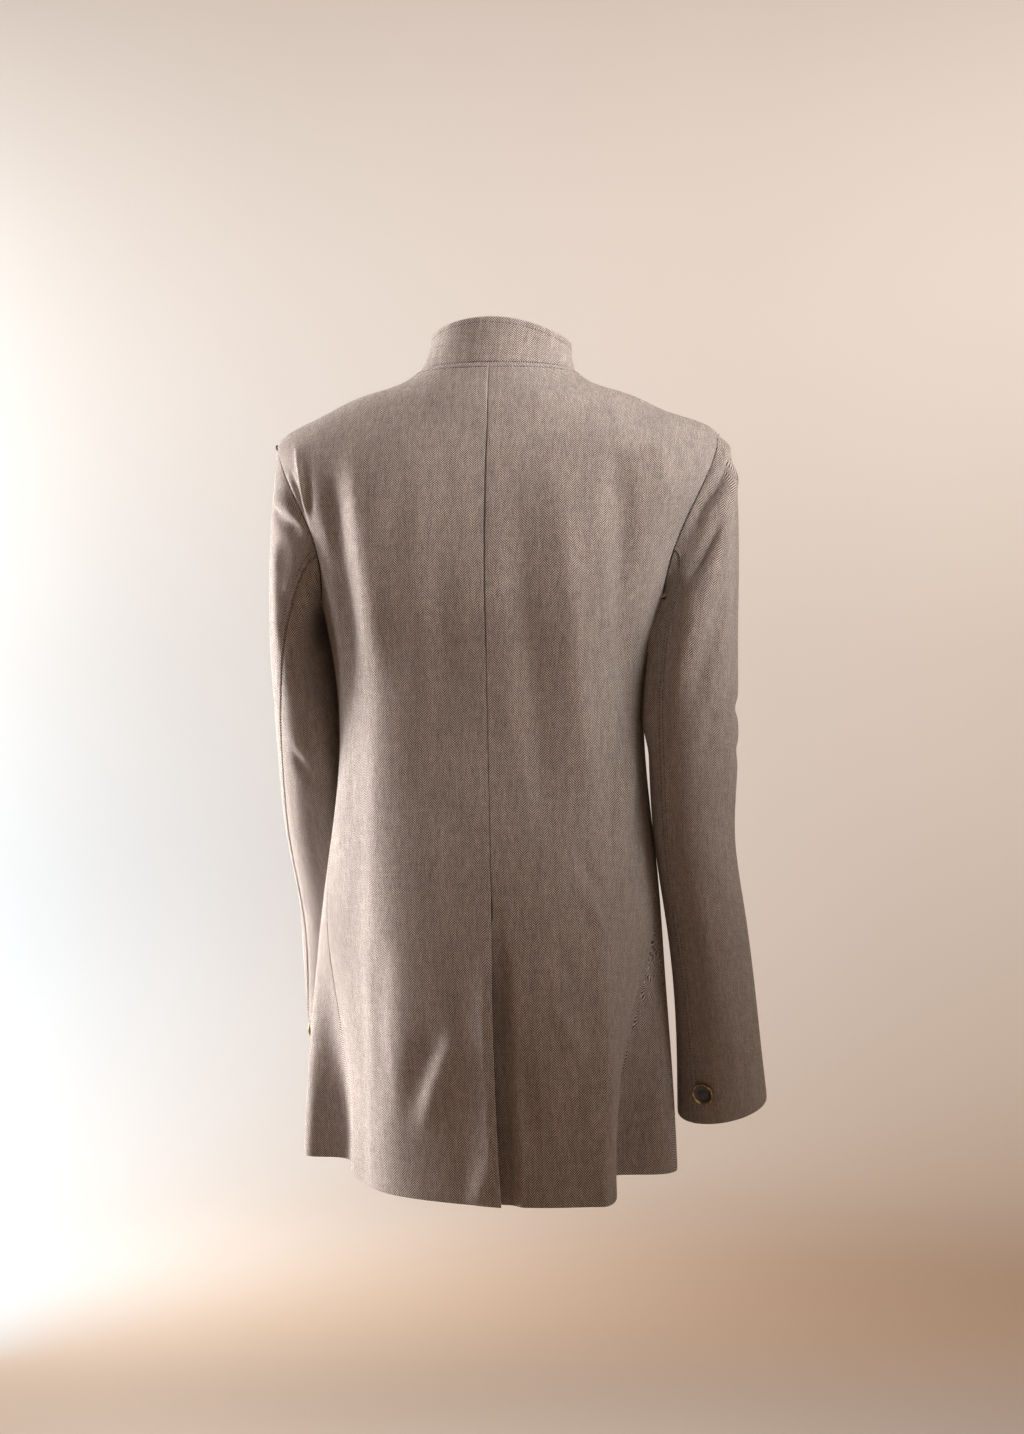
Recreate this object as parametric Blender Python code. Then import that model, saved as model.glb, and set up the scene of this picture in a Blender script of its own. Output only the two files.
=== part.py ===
"""A thigh-length herringbone wool coat with a stand collar, held in the shape it has when worn.

Every piece of cloth is a closed wall of even thickness. The body is one surface, swept through the
rings of BODY_RINGS from the neckline to the hem, and each panel is a patch of it between seams. Each
sleeve starts on the armhole curve of that surface and runs through the rings of its own table.

Metres, +Z up. The front faces -Y and the wearer's left is +X. The origin is the middle of the neck,
level with the points where the shoulder seams meet the collar.
"""

import math

import bmesh
import bpy
import numpy as np

# ---- cloth and seams ----
CLOTH = 0.0020  # thickness of the wool
COLLAR_CLOTH = 0.0036  # two layers and their interlining, turned and pressed
SEAM_GAP = 0.0003
LAP_DEPTH = 0.0030  # how far a lapped-under edge sinks below the edge that covers it
LAP_EASE = 0.020  # the lower layer begins to sink this far outside that edge
LAP_MARGIN = 0.005  # and is fully down this far outside it

# ---- front and back openings ----
FRONT_LAP = 0.022  # each front runs this far past the centre, right over left
VENT_TOP_Z = -0.500
VENT_LAP = 0.042  # the right back runs this far under the left back
VENT_RISE = 0.045

# ---- fastenings ----
FRONT_BUTTON_RADIUS = 0.0115
CUFF_BUTTON_RADIUS = 0.0106
BUTTON_HEIGHT = 0.0046
BUTTON_SHANK = 0.0010  # the thread that stands each button off the cloth
FRONT_BUTTON_HEIGHTS = (-0.118, -0.220, -0.322, -0.424, -0.526)
CUFF_BUTTON_RISE = 0.050  # from the cuff's edge to the button's centre, as a share of the sleeve's v

# ---- the body, ring by ring ----
# side_z, half_width, side_y: where the ring crosses the shoulder or side line; centre_x and skew_y move
# it to the left and turn its left side forward; droop_z lowers its left side and raises its right;
# back_* and front_*: where it crosses the centre lines; square: 2 is an ellipse, more is squarer;
# seam: the side seam's angle from centre back, in degrees.
BODY_COLUMNS = (
    "name", "side_z", "half_width", "centre_x", "side_y", "skew_y", "droop_z", "back_x", "back_y", "back_z",
    "front_y", "front_z", "square", "seam",
)
BODY_RINGS = (
    ("neckline", 0.004, 0.0730, -0.004, 0, 0, 0, -0.003, 0.0640, 0.003, -0.078, -0.064, 2.00, 90),
    ("neck root", -0.006, 0.086, -0.003, 0.001, 0, 0, -0.003, 0.071, -0.009, -0.087, -0.075, 2.02, 90),
    ("yoke", -0.0210, 0.128, -0.001, 0.003, 0.000, 0.000, -0.004, 0.085, -0.032, -0.101, -0.096, 2.10, 90),
    ("shoulder", -0.0401, 0.168, -0.0005, 0.005, 0, 0.0008, -0.005, 0.098, -0.060, -0.112, -0.118, 2.20, 90),
    ("tip", -0.0622, 0.2065, -0.0035, 0.006, 0.000, 0.0027, -0.005, 0.109, -0.090, -0.121, -0.142, 2.30, 90),
    ("scye", -0.1020, 0.2035, -0.0020, 0.005, 0, 0.0020, -0.005, 0.1165, -0.128, -0.127, -0.172, 2.35, 90),
    ("blade", -0.1520, 0.182, 0.000, 0.003, 0.000, 0.0005, -0.005, 0.120, -0.172, -0.131, -0.204, 2.35, 90),
    ("armpit", -0.2150, 0.160, 0.001, 0.000, 0.000, 0.000, -0.0055, 0.119, -0.225, -0.131, -0.238, 2.30, 90),
    ("ribs", -0.2620, 0.149, 0.003, -0.002, 0.000, 0.000, -0.0055, 0.110, -0.265, -0.124, -0.268, 2.20, 90),
    ("waist", -0.3500, 0.144, 0.0023, -0.004, 0.000, 0.000, -0.006, 0.099, -0.350, -0.112, -0.350, 2.10, 89),
    ("high hip", -0.4540, 0.1555, 0.003, -0.006, 0.002, 0, -0.0105, 0.118, -0.454, -0.112, -0.454, 2.00, 80),
    ("hip", -0.5600, 0.1675, 0.0065, -0.010, 0.006, 0.000, -0.0145, 0.136, -0.560, -0.122, -0.560, 2.00, 72),
    ("skirt", -0.6600, 0.1774, 0.0085, -0.015, 0.012, 0, -0.019, 0.143, -0.660, -0.133, -0.660, 2.00, 70),
    ("hem", -0.7450, 0.1832, 0.0097, -0.021, 0.017, 0.000, -0.024, 0.147, -0.745, -0.142, -0.745, 2.00, 70),
)

# ---- the largest folds ----
# side: +1 left, -1 right; angle and spread: where it runs and how wide it is, in degrees round the
# ring; from top_z it grows to its full size at full_z; aside and back: its full size outward from
# the centre line and toward the back.
FOLD_COLUMNS = ("name", "side", "angle", "spread", "top_z", "full_z", "aside", "back")
FOLDS = (
    ("left skirt tuck", 1, 56, 20, -0.360, -0.690, -0.032, 0.001),
    ("left skirt hollow", 1, 74, 10, -0.500, -0.745, -0.024, -0.036),
    ("right skirt crest", -1, 46, 14, -0.480, -0.745, -0.016, 0.022),
    ("right skirt hollow", -1, 68, 13, -0.480, -0.745, -0.056, -0.036),
)

# ---- the armholes, from the shoulder tip to the armpit ----
ARMHOLE_BACK_DEPTH = {1: 31.0, -1: 18.0}  # degrees that the curve reaches behind the shoulder line
ARMHOLE_FRONT_DEPTH = 29.0
ARMHOLE_FULLNESS = 0.72  # below 1, the curve leaves its ends more steeply

# ---- the sleeves, ring by ring ----
# out, fore and z place the ring's centre; half_out and half_fore are its two radii; roll turns the
# seams round the arm, in degrees, from the outer line toward the back.
SLEEVE_COLUMNS = ("name", "out", "fore", "z", "half_out", "half_fore", "roll")
RIGHT_SLEEVE = (
    ("upper arm", 0.1896, 0.002, -0.2560, 0.0386, 0.0610, 26),
    ("above elbow", 0.1873, 0.007, -0.3060, 0.0412, 0.0580, 26),
    ("elbow top", 0.1870, 0.010, -0.3600, 0.0410, 0.0540, 24),
    ("elbow", 0.1880, 0.008, -0.4300, 0.0375, 0.0500, 24),
    ("forearm", 0.1980, -0.004, -0.5050, 0.0370, 0.0470, 26),
    ("low forearm", 0.2070, -0.022, -0.5850, 0.0382, 0.0440, 22),
    ("cuff", 0.2135, -0.047, -0.6890, 0.0425, 0.0425, 18),
)
LEFT_SLEEVE = (
    ("upper arm", 0.1862, -0.014, -0.2560, 0.0270, 0.0660, -36),
    ("above elbow", 0.1812, -0.031, -0.3060, 0.0333, 0.0610, -58),
    ("elbow top", 0.1784, -0.054, -0.3600, 0.0375, 0.0560, -68),
    ("elbow", 0.1768, -0.078, -0.4250, 0.0380, 0.0500, -72),
    ("forearm", 0.1695, -0.107, -0.5000, 0.0380, 0.0460, -74),
    ("low forearm", 0.1685, -0.134, -0.5800, 0.0395, 0.0430, -76),
    ("cuff", 0.1605, -0.163, -0.6740, 0.0415, 0.0420, -136),
)
CAP_SHARE = 0.30  # the share of the sleeve's v that the cap takes
# how the cloth leaves the armhole: outward at the shoulder tip, outward at the armpit, and up
CAP_LEAVES = {1: (0.02, 0.50, -0.52), -1: (0.45, 0.52, -0.35)}
CUFF_RISE = 0.005  # the outer edge of the cuff is cut this much higher
CUFF_RISE_FROM = 0.90  # v at which that begins
ROUND_STEPS = 16  # the armhole and the sleeves have this many points round them
UNDER_STEPS = 6  # of which the under sleeve takes this many
BACK_SEAM = 5 / ROUND_STEPS  # share of the way round: 0 outer, 0.25 back, 0.5 underarm, 0.75 front

# ---- the stand collar's rim ----
COLLAR_RIM = {
    "half_width": 0.0655, "centre_x": -0.0080, "side_y": 0.001, "side_z": 0.034, "back_y": 0.0560,
    "back_z": 0.046, "front_y": -0.070, "front_z": -0.018, "left_rise": 0.004,
}
COLLAR_HOLLOW = 0.0016  # the band curves in a little between its edges
COLLAR_OPENING = 1.2  # degrees left open on each side of the centre front

# ---- mesh density ----
SHOULDER_ROWS = 4
SKIRT_ROWS = 10
BACK_COLUMNS = 14
FRONT_COLUMNS = 14
LAP_COLUMNS = 2
CAP_ROWS = 6
ARM_ROWS = 9
COLLAR_COLUMNS = 36
BUTTON_STEPS = 14

MATERIALS = {
    "herringbone_wool": ((0.270, 0.240, 0.215), 0.92, 0.0),
    "collar_wool": ((0.285, 0.255, 0.230), 0.92, 0.0),
    "bronze_button": ((0.105, 0.070, 0.045), 0.38, 0.6),
}


def clear_scene():
    for obj in list(bpy.data.objects):
        bpy.data.objects.remove(obj, do_unlink=True)


def make_material(name):
    colour, roughness, metallic = MATERIALS[name]
    material = bpy.data.materials.new(name)
    material.use_nodes = True
    shader = material.node_tree.nodes["Principled BSDF"]
    shader.inputs["Base Color"].default_value = (*colour, 1.0)
    shader.inputs["Roughness"].default_value = roughness
    shader.inputs["Metallic"].default_value = metallic
    material.diffuse_color = (*colour, 1.0)
    return material


# ---------------------------------------------------------------- curves through table rows


def smooth_step(value):
    value = np.clip(value, 0.0, 1.0)
    return value * value * (3.0 - 2.0 * value)


def column(rows, columns, name):
    return np.array([row[columns.index(name)] for row in rows], float)


def spline(knots, values, at):
    """Natural cubic spline: it passes through values at knots, with no bend at either end."""
    step = np.diff(knots)
    slope = np.diff(values) / step
    size = len(knots)
    system = np.eye(size)
    wanted = np.zeros(size)
    for i in range(1, size - 1):
        system[i, i - 1 : i + 2] = step[i - 1], 2 * (step[i - 1] + step[i]), step[i]
        wanted[i] = 6 * (slope[i] - slope[i - 1])
    bend = np.linalg.solve(system, wanted)
    i = np.clip(np.searchsorted(knots, at, side="right") - 1, 0, size - 2)
    ahead = at - knots[i]
    behind = knots[i + 1] - at
    ends = (bend[i] * behind**3 + bend[i + 1] * ahead**3) / (6 * step[i])
    line = (values[i] / step[i] - bend[i] * step[i] / 6) * behind
    line += (values[i + 1] / step[i] - bend[i + 1] * step[i] / 6) * ahead
    return ends + line


def unit(vectors):
    return vectors / np.maximum(np.linalg.norm(vectors, axis=-1, keepdims=True), 1e-12)


# ---------------------------------------------------------------- the body surface


def body_knots():
    """t of each ring: the distance down the side line from the neckline."""
    line = np.stack([column(BODY_RINGS, BODY_COLUMNS, c) for c in ("half_width", "side_y", "side_z")], 1)
    steps = np.linalg.norm(np.diff(line, axis=0), axis=1)
    return np.concatenate([[0.0], np.cumsum(steps)])


def ring_t(name):
    return body_knots()[[row[0] for row in BODY_RINGS].index(name)]


def ring_value(name, t):
    return spline(body_knots(), column(BODY_RINGS, BODY_COLUMNS, name), t)


def body_point(side, angle, t):
    """The point of the body's outer surface that is angle degrees round from centre back, toward the
    left for side 1 and the right for side -1, and t metres down the side line."""
    angle, t = np.broadcast_arrays(np.asarray(angle, float), np.asarray(t, float))
    ring = {name: ring_value(name, t) for name in BODY_COLUMNS[1:]}
    turn = np.radians(angle)
    power = 2.0 / ring["square"]
    across = np.sign(np.sin(turn)) * np.abs(np.sin(turn)) ** power
    along = np.sign(np.cos(turn)) * np.abs(np.cos(turn)) ** power
    to_back = np.clip(along, 0.0, None)
    to_front = np.clip(-along, 0.0, None)
    x = ring["centre_x"] + side * ring["half_width"] * across
    x = x + (ring["back_x"] - ring["centre_x"]) * to_back**2
    y = ring["side_y"] - side * ring["skew_y"] * across
    y = y + (ring["back_y"] - ring["side_y"]) * to_back + (ring["front_y"] - ring["side_y"]) * to_front
    z = ring["side_z"] - side * ring["droop_z"] * across
    z = z + (ring["back_z"] - ring["side_z"]) * to_back**2
    z = z + (ring["front_z"] - ring["side_z"]) * to_front**2
    for _, fold_side, fold_angle, spread, top_z, full_z, aside, back in FOLDS:
        amount = np.exp(-(((angle - fold_angle) / spread) ** 2)) * (side == fold_side)
        amount = amount * smooth_step((z - top_z) / (full_z - top_z))
        x = x + side * aside * amount
        y = y + back * amount
    return np.stack([x, y, z], -1)


def body_normal(side, angle, t):
    """The outward direction, from the surface's slopes round and down it."""
    around = body_point(side, angle + 0.25, t) - body_point(side, angle - 0.25, t)
    low = np.minimum(t + 0.001, ring_t("hem"))
    down = body_point(side, angle, low) - body_point(side, angle, low - 0.002)
    return unit(np.cross(around, down) * side)


# ---------------------------------------------------------------- the armhole


def armhole_place(side, share):
    """(angle, t) at a share of the way round the armhole: 0 and 1 are the shoulder tip, a quarter is
    the back, a half the armpit and three quarters the front."""
    share = np.asarray(share, float)
    down = 0.5 - 0.5 * np.cos(2 * math.pi * share)
    reach = np.abs(np.sin(2 * math.pi * share)) ** ARMHOLE_FULLNESS
    angle = 90.0 + np.where(share < 0.5, -ARMHOLE_BACK_DEPTH[side], ARMHOLE_FRONT_DEPTH) * reach
    return angle, ring_t("tip") + (ring_t("armpit") - ring_t("tip")) * down


def armhole_point(side, share):
    angle, t = armhole_place(side, np.mod(share, 1.0))
    return body_point(side, angle, t)


def armhole_frame(side, share):
    """At each share: the point, the body's outward direction, the direction in the body's surface
    that leads away from the armhole, and the direction in which the sleeve leaves it."""
    share = np.asarray(share, float)
    point = armhole_point(side, share)
    angle, t = armhole_place(side, np.mod(share, 1.0))
    normal = body_normal(side, angle, t)
    tangent = unit(armhole_point(side, share + 0.004) - armhole_point(side, share - 0.004))
    middle = armhole_point(side, np.arange(0, 1, 0.125)).mean(axis=0)
    away = unit(np.cross(normal, tangent))
    away = away * np.sign(np.sum(away * (point - middle), axis=-1, keepdims=True))
    leaves = np.zeros_like(point)
    at_tip, at_armpit, up = CAP_LEAVES[side]
    low = 0.5 - 0.5 * np.cos(2 * math.pi * share)
    leaves[..., 0] = side * (at_tip + (at_armpit - at_tip) * low)
    leaves[..., 2] = up
    leaves = leaves - tangent * np.sum(leaves * tangent, axis=-1, keepdims=True)
    return point, normal, away, leaves, tangent, middle


def armhole_wall(side, share, own_normal):
    """The direction through the wall at the armhole. Where the sleeve folds down from the body, both
    share the mitre between them; elsewhere each keeps its own."""
    point, normal, _, leaves, tangent, middle = armhole_frame(side, share)
    sleeve_normal = unit(np.cross(leaves, tangent))
    sleeve_normal = sleeve_normal * np.sign(np.sum(sleeve_normal * (point - middle), -1, keepdims=True))
    both = unit(normal + sleeve_normal)
    both = both / np.clip(np.sum(both * normal, -1, keepdims=True), 0.6, 1.0)
    folds_down = np.sum(leaves * normal, -1, keepdims=True) < 0
    return np.where(folds_down, both, own_normal)


# ---------------------------------------------------------------- the sleeve surface


def sleeve_rings(side):
    return LEFT_SLEEVE if side > 0 else RIGHT_SLEEVE


def arm_point(side, share, v):
    """A point on the sleeve below its cap: v is CAP_SHARE at the first ring and 1 at the cuff."""
    rings = sleeve_rings(side)
    centres = np.stack([column(rings, SLEEVE_COLUMNS, c) for c in ("out", "fore", "z")], 1)
    steps = np.concatenate([[0.0], np.cumsum(np.linalg.norm(np.diff(centres, axis=0), axis=1))])
    knots = CAP_SHARE + (1 - CAP_SHARE) * steps / steps[-1]

    def middle(at):
        return np.stack([spline(knots, centres[:, i], at) for i in range(3)], -1)

    centre = middle(v)
    axis = unit(middle(v + 0.005) - middle(v - 0.005))
    outward = np.zeros_like(axis)
    outward[..., 0] = 1.0
    outward = unit(outward - axis * np.sum(outward * axis, -1, keepdims=True))
    backward = np.cross(outward, axis)
    backward = backward * np.sign(backward[..., 1:2])
    turn = 2 * math.pi * share + np.radians(spline(knots, column(rings, SLEEVE_COLUMNS, "roll"), v))
    half_out = spline(knots, column(rings, SLEEVE_COLUMNS, "half_out"), v)[..., None]
    half_fore = spline(knots, column(rings, SLEEVE_COLUMNS, "half_fore"), v)[..., None]
    point = centre + outward * half_out * np.cos(turn)[..., None]
    point = point + backward * half_fore * np.sin(turn)[..., None]
    point[..., 2] += CUFF_RISE * np.cos(turn) * smooth_step((v - CUFF_RISE_FROM) / (1 - CUFF_RISE_FROM))
    return point * np.array([side, 1.0, 1.0])


def sleeve_point(side, share, v):
    """A point on the whole sleeve: v is 0 at the armhole. The cap is a Hermite curve that leaves the
    armhole along CAP_LEAVES and joins the arm's own direction at its first ring."""
    share, v = np.broadcast_arrays(np.asarray(share, float), np.asarray(v, float))
    top = np.full_like(v, CAP_SHARE)
    start, _, _, leaves, _, _ = armhole_frame(side, share)
    end = arm_point(side, share, top)
    end_way = unit(arm_point(side, share, top + 0.01) - end)
    reach = np.linalg.norm(end - start, axis=-1, keepdims=True)
    w = np.clip(v / CAP_SHARE, 0.0, 1.0)[..., None]
    cap = start * (2 * w**3 - 3 * w**2 + 1) + leaves * reach * (w**3 - 2 * w**2 + w)
    cap = cap + end * (3 * w**2 - 2 * w**3) + end_way * reach * (w**3 - w**2)
    arm = arm_point(side, share, np.maximum(v, CAP_SHARE))
    return np.where((v < CAP_SHARE)[..., None], cap, arm)


def sleeve_normal(side, share, v):
    low = np.clip(v, 0.004, 0.996)
    around = sleeve_point(side, share + 0.004, low) - sleeve_point(side, share - 0.004, low)
    down = sleeve_point(side, share, low + 0.004) - sleeve_point(side, share, low - 0.004)
    return unit(np.cross(around, down) * -side)


# ---------------------------------------------------------------- walls from grids


def edge_line(grid, edge, step=0):
    """The line of a grid that is step lines in from its top, left or right edge."""
    if edge == "top":
        return grid[step]
    return grid[:, step] if edge == "left" else grid[:, -1 - step]


def pull_in(points, normals, edges):
    """Moves edges of a grid into the panel, square to the edge and along the surface. edges holds
    the distance for each edge by its name."""
    moved = points.copy()
    for edge, distance in edges.items():
        line = edge_line(points, edge)
        inward = unit(np.cross(edge_line(normals, edge), np.gradient(line, axis=0)))
        toward = edge_line(points, edge, 1) - line
        inward = inward * np.sign(np.sum(inward * toward, -1, keepdims=True))
        target = edge_line(moved, edge)
        target += inward * distance
    return moved


def wall_object(name, outer, inner, cells, material):
    """A closed wall between two grids of the same size, over the cells that are true. Each quad of
    its edge is split from its upper outer corner, so that two walls that meet are split alike."""
    rows, columns = outer.shape[:2]
    index = np.arange(rows * columns).reshape(rows, columns)
    shift = rows * columns
    faces = []
    edges = {}
    for i, j in zip(*np.nonzero(cells)):
        corners = [index[i, j], index[i, j + 1], index[i + 1, j + 1], index[i + 1, j]]
        faces.append(corners)
        faces.append([corner + shift for corner in reversed(corners)])
        for a, b in zip(corners, corners[1:] + corners[:1]):
            if (b, a) in edges:
                del edges[(b, a)]
            else:
                edges[(a, b)] = True
    points = np.concatenate([outer.reshape(-1, 3), inner.reshape(-1, 3)])
    for a, b in edges:
        if points[a, 2] > points[b, 2]:
            faces.extend([[b, a, b + shift], [a, a + shift, b + shift]])
        else:
            faces.extend([[b, a, a + shift], [b, a + shift, b + shift]])
    mesh = bpy.data.meshes.new(name)
    shape = bmesh.new()
    used = sorted({corner for face in faces for corner in face})
    verts = {corner: shape.verts.new(points[corner]) for corner in used}
    for face in faces:
        shape.faces.new([verts[corner] for corner in face])
    if shape.calc_volume(signed=True) < 0:
        bmesh.ops.reverse_faces(shape, faces=shape.faces[:])
    shape.to_mesh(mesh)
    shape.free()
    return add_object(name, mesh, material)


def add_object(name, mesh, material):
    mesh.shade_smooth()
    mesh.set_sharp_from_angle(angle=math.radians(40))
    mesh.materials.append(material)
    obj = bpy.data.objects.new(name, mesh)
    bpy.context.scene.collection.objects.link(obj)
    return obj


# ---------------------------------------------------------------- body panels


def panel_rows():
    """t of each row of a body panel, and the share of the armhole at each of its own rows."""
    tip, armpit, hem = ring_t("tip"), ring_t("armpit"), ring_t("hem")
    share = np.linspace(0.0, 0.5, ROUND_STEPS // 2 + 1)
    shoulder = np.linspace(0.0, tip, SHOULDER_ROWS + 1)[:-1]
    skirt = np.linspace(armpit, hem, SKIRT_ROWS + 1)[1:]
    return np.concatenate([shoulder, armhole_place(1, share)[1], skirt]), share


def seam_angle(t):
    return np.minimum(ring_value("seam", t), 90.0)


def panel_grid(side, front, lap_angles):
    """Angles and t of a panel's grid. Columns run from the centre line to the armhole and side seam;
    lap_angles are extra columns past the centre line, as (row, column) angles from it."""
    t, share = panel_rows()
    scye = armhole_place(side, 1.0 - share if front else share)[0]
    edge = np.concatenate([np.full(SHOULDER_ROWS, 90.0), scye, seam_angle(t[SHOULDER_ROWS + len(share) :])])
    edge[SHOULDER_ROWS + len(share) - 1] = 90.0
    columns = FRONT_COLUMNS if front else BACK_COLUMNS
    start = 180.0 if front else 0.0
    across = np.linspace(0.0, 1.0, columns + 1)
    angle = start + (edge[:, None] - start) * across
    if lap_angles is not None:
        angle = np.concatenate([lap_angles(t), angle], axis=1)
    return angle, np.repeat(t[:, None], angle.shape[1], axis=1)


def lap_angles_past(start, reach, sign):
    def angles(t):
        full = np.degrees(reach / ring_value("half_width", t))
        return start + sign * full[:, None] * np.linspace(1.0, 0.0, LAP_COLUMNS + 1)[:-1]

    return angles


def panel_object(name, side, front, material, lap=None, cells=None, sink=None):
    """One body panel as a wall: its outer grid on the body surface, lowered by sink where it laps
    under its neighbour, and its inner grid a cloth's thickness inside."""
    angle, t = panel_grid(side, front, lap)
    outer = body_point(side, angle, t)
    normal = body_normal(side, angle, t)
    if sink is not None:
        outer = outer - normal * sink(angle, t)[..., None]
    _, share = panel_rows()
    scye = slice(SHOULDER_ROWS, SHOULDER_ROWS + len(share))
    around = 1.0 - share if front else share
    edges = {"top": SEAM_GAP / 2, "right": SEAM_GAP / 2}
    if lap is None:
        edges["left"] = SEAM_GAP
    outer = pull_in(outer, normal, edges)
    point, _, away, _, _, _ = armhole_frame(side, around)
    wall = normal.copy()
    wall[scye, -1] = armhole_wall(side, around, normal[scye, -1])
    body = slice(1, len(share) - 1)
    outer[scye, -1][body] = (point + away * SEAM_GAP / 2)[body]
    inner = outer - wall * CLOTH
    if cells is None:
        cells = np.ones((outer.shape[0] - 1, outer.shape[1] - 1), bool)
    else:
        cells = cells(angle, t)
    return wall_object(name, outer, inner, cells, material)


def front_sink(angle, t):
    """The left front goes down under the right front's edge."""
    from_centre = np.radians(180.0 - angle) * ring_value("half_width", t)
    return LAP_DEPTH * smooth_step((FRONT_LAP + LAP_EASE - from_centre) / (LAP_EASE - LAP_MARGIN))


def vent_sink(angle, t):
    """The right back goes down under the left back's edge, from the head of the vent."""
    from_centre = np.radians(angle) * ring_value("half_width", t)
    across = smooth_step((LAP_EASE - from_centre) / (LAP_EASE - LAP_MARGIN))
    below_head = smooth_step((VENT_TOP_Z + VENT_RISE - ring_value("back_z", t)) / VENT_RISE)
    return LAP_DEPTH * across * below_head


def vent_cells(angle, t):
    """The lap under the vent has cloth only below the vent's head."""
    z = ring_value("back_z", t)
    keep = np.ones((angle.shape[0] - 1, angle.shape[1] - 1), bool)
    keep[:, :LAP_COLUMNS] = (z[:-1, :LAP_COLUMNS] <= VENT_TOP_Z) & (z[1:, :LAP_COLUMNS] <= VENT_TOP_Z)
    return keep


def make_body(material):
    panel_object("back_left", 1, False, material)
    under = lap_angles_past(0.0, VENT_LAP, -1)
    panel_object("back_right", -1, False, material, under, vent_cells, vent_sink)
    past = lap_angles_past(180.0, FRONT_LAP, 1)
    panel_object("front_left", 1, True, material, past, None, front_sink)
    panel_object("front_right", -1, True, material, past)


# ---------------------------------------------------------------- sleeves


def sleeve_v():
    cap = np.linspace(0.0, CAP_SHARE, CAP_ROWS + 1)[:-1]
    return np.concatenate([cap, np.linspace(CAP_SHARE, 1.0, ARM_ROWS + 1)])


def sleeve_object(name, side, start, steps, material):
    """One piece of a sleeve, from a share of the way round it through a number of steps."""
    share, v = np.meshgrid(start + np.arange(steps + 1) / ROUND_STEPS, sleeve_v())
    outer = sleeve_point(side, share, v)
    wall = sleeve_normal(side, share, v)
    wall[0] = armhole_wall(side, share[0], wall[0])
    outer = pull_in(outer, wall, {"left": SEAM_GAP / 2, "right": SEAM_GAP / 2})
    outer[0] += unit(armhole_frame(side, share[0])[3]) * SEAM_GAP / 2
    cells = np.ones((outer.shape[0] - 1, outer.shape[1] - 1), bool)
    return wall_object(name, outer, outer - wall * CLOTH, cells, material)


def make_sleeves(material):
    front_seam = BACK_SEAM + UNDER_STEPS / ROUND_STEPS
    for side, name in ((1, "left"), (-1, "right")):
        sleeve_object(f"sleeve_{name}_upper", side, front_seam - 1.0, ROUND_STEPS - UNDER_STEPS, material)
        sleeve_object(f"sleeve_{name}_under", side, BACK_SEAM, UNDER_STEPS, material)


# ---------------------------------------------------------------- collar


def collar_rim(angle):
    """The rim of the stand, at angles from centre back, left positive."""
    turn = np.radians(angle)
    across, along = np.sin(turn), np.cos(turn)
    to_back, to_front = np.clip(along, 0, None), np.clip(-along, 0, None)
    rim = COLLAR_RIM
    x = rim["centre_x"] + rim["half_width"] * across
    y = rim["side_y"] + (rim["back_y"] - rim["side_y"]) * to_back
    y = y + (rim["front_y"] - rim["side_y"]) * to_front
    z = rim["side_z"] + (rim["back_z"] - rim["side_z"]) * to_back**2
    z = z + (rim["front_z"] - rim["side_z"]) * to_front**2 + rim["left_rise"] * across
    return np.stack([x, y, z], -1)


def collar_point(angle, v):
    """A point of the band's outer face: v is 0 at the neckline and 1 at the rim."""
    side = np.where(angle < 0, -1.0, 1.0)
    base = body_point(side, np.abs(angle), np.zeros_like(angle))
    rim = collar_rim(angle)
    inward = unit(rim * np.array([1.0, 1.0, 0.0]))
    return base + (rim - base) * v[..., None] - inward * (COLLAR_HOLLOW * 4 * v * (1 - v))[..., None]


def make_collar(material):
    end = 180.0 - COLLAR_OPENING
    angle, v = np.meshgrid(np.linspace(-end, end, COLLAR_COLUMNS + 1), np.linspace(0.0, 1.0, 4))
    outer = collar_point(angle, v)
    around = collar_point(angle + 0.5, v) - collar_point(angle - 0.5, v)
    down = collar_point(angle, v - 0.02) - collar_point(angle, v + 0.02)
    normal = unit(np.cross(around, down))
    outer = pull_in(outer, normal, {"top": 1.5 * SEAM_GAP})
    cells = np.ones((outer.shape[0] - 1, outer.shape[1] - 1), bool)
    return wall_object("collar", outer, outer - normal * COLLAR_CLOTH, cells, material)


# ---------------------------------------------------------------- buttons


def make_button(name, centre, normal, radius, material):
    """A turned button: a rim round a shallow dish, its flat back a seam gap off the cloth."""
    profile = (
        (0.62 * radius, 0.0), (0.93 * radius, 0.22 * BUTTON_HEIGHT), (radius, 0.62 * BUTTON_HEIGHT),
        (0.90 * radius, BUTTON_HEIGHT), (0.74 * radius, 0.72 * BUTTON_HEIGHT),
    )
    normal = unit(normal)
    first = unit(np.cross(normal, (0.0, 0.0, 1.0)))
    second = np.cross(normal, first)
    turn = np.arange(BUTTON_STEPS) * 2 * math.pi / BUTTON_STEPS
    ring = np.cos(turn)[:, None] * first + np.sin(turn)[:, None] * second
    base = centre + normal * BUTTON_SHANK
    shape = bmesh.new()
    loops = [[shape.verts.new(base + way * out + normal * up) for way in ring] for out, up in profile]
    for lower, upper in zip(loops, loops[1:]):
        for k in range(BUTTON_STEPS):
            following = (k + 1) % BUTTON_STEPS
            shape.faces.new((lower[k], lower[following], upper[following], upper[k]))
    shape.faces.new(loops[0][::-1])
    shape.faces.new(loops[-1])
    if shape.calc_volume(signed=True) < 0:
        bmesh.ops.reverse_faces(shape, faces=shape.faces[:])
    mesh = bpy.data.meshes.new(name)
    shape.to_mesh(mesh)
    shape.free()
    return add_object(name, mesh, material)


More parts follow.
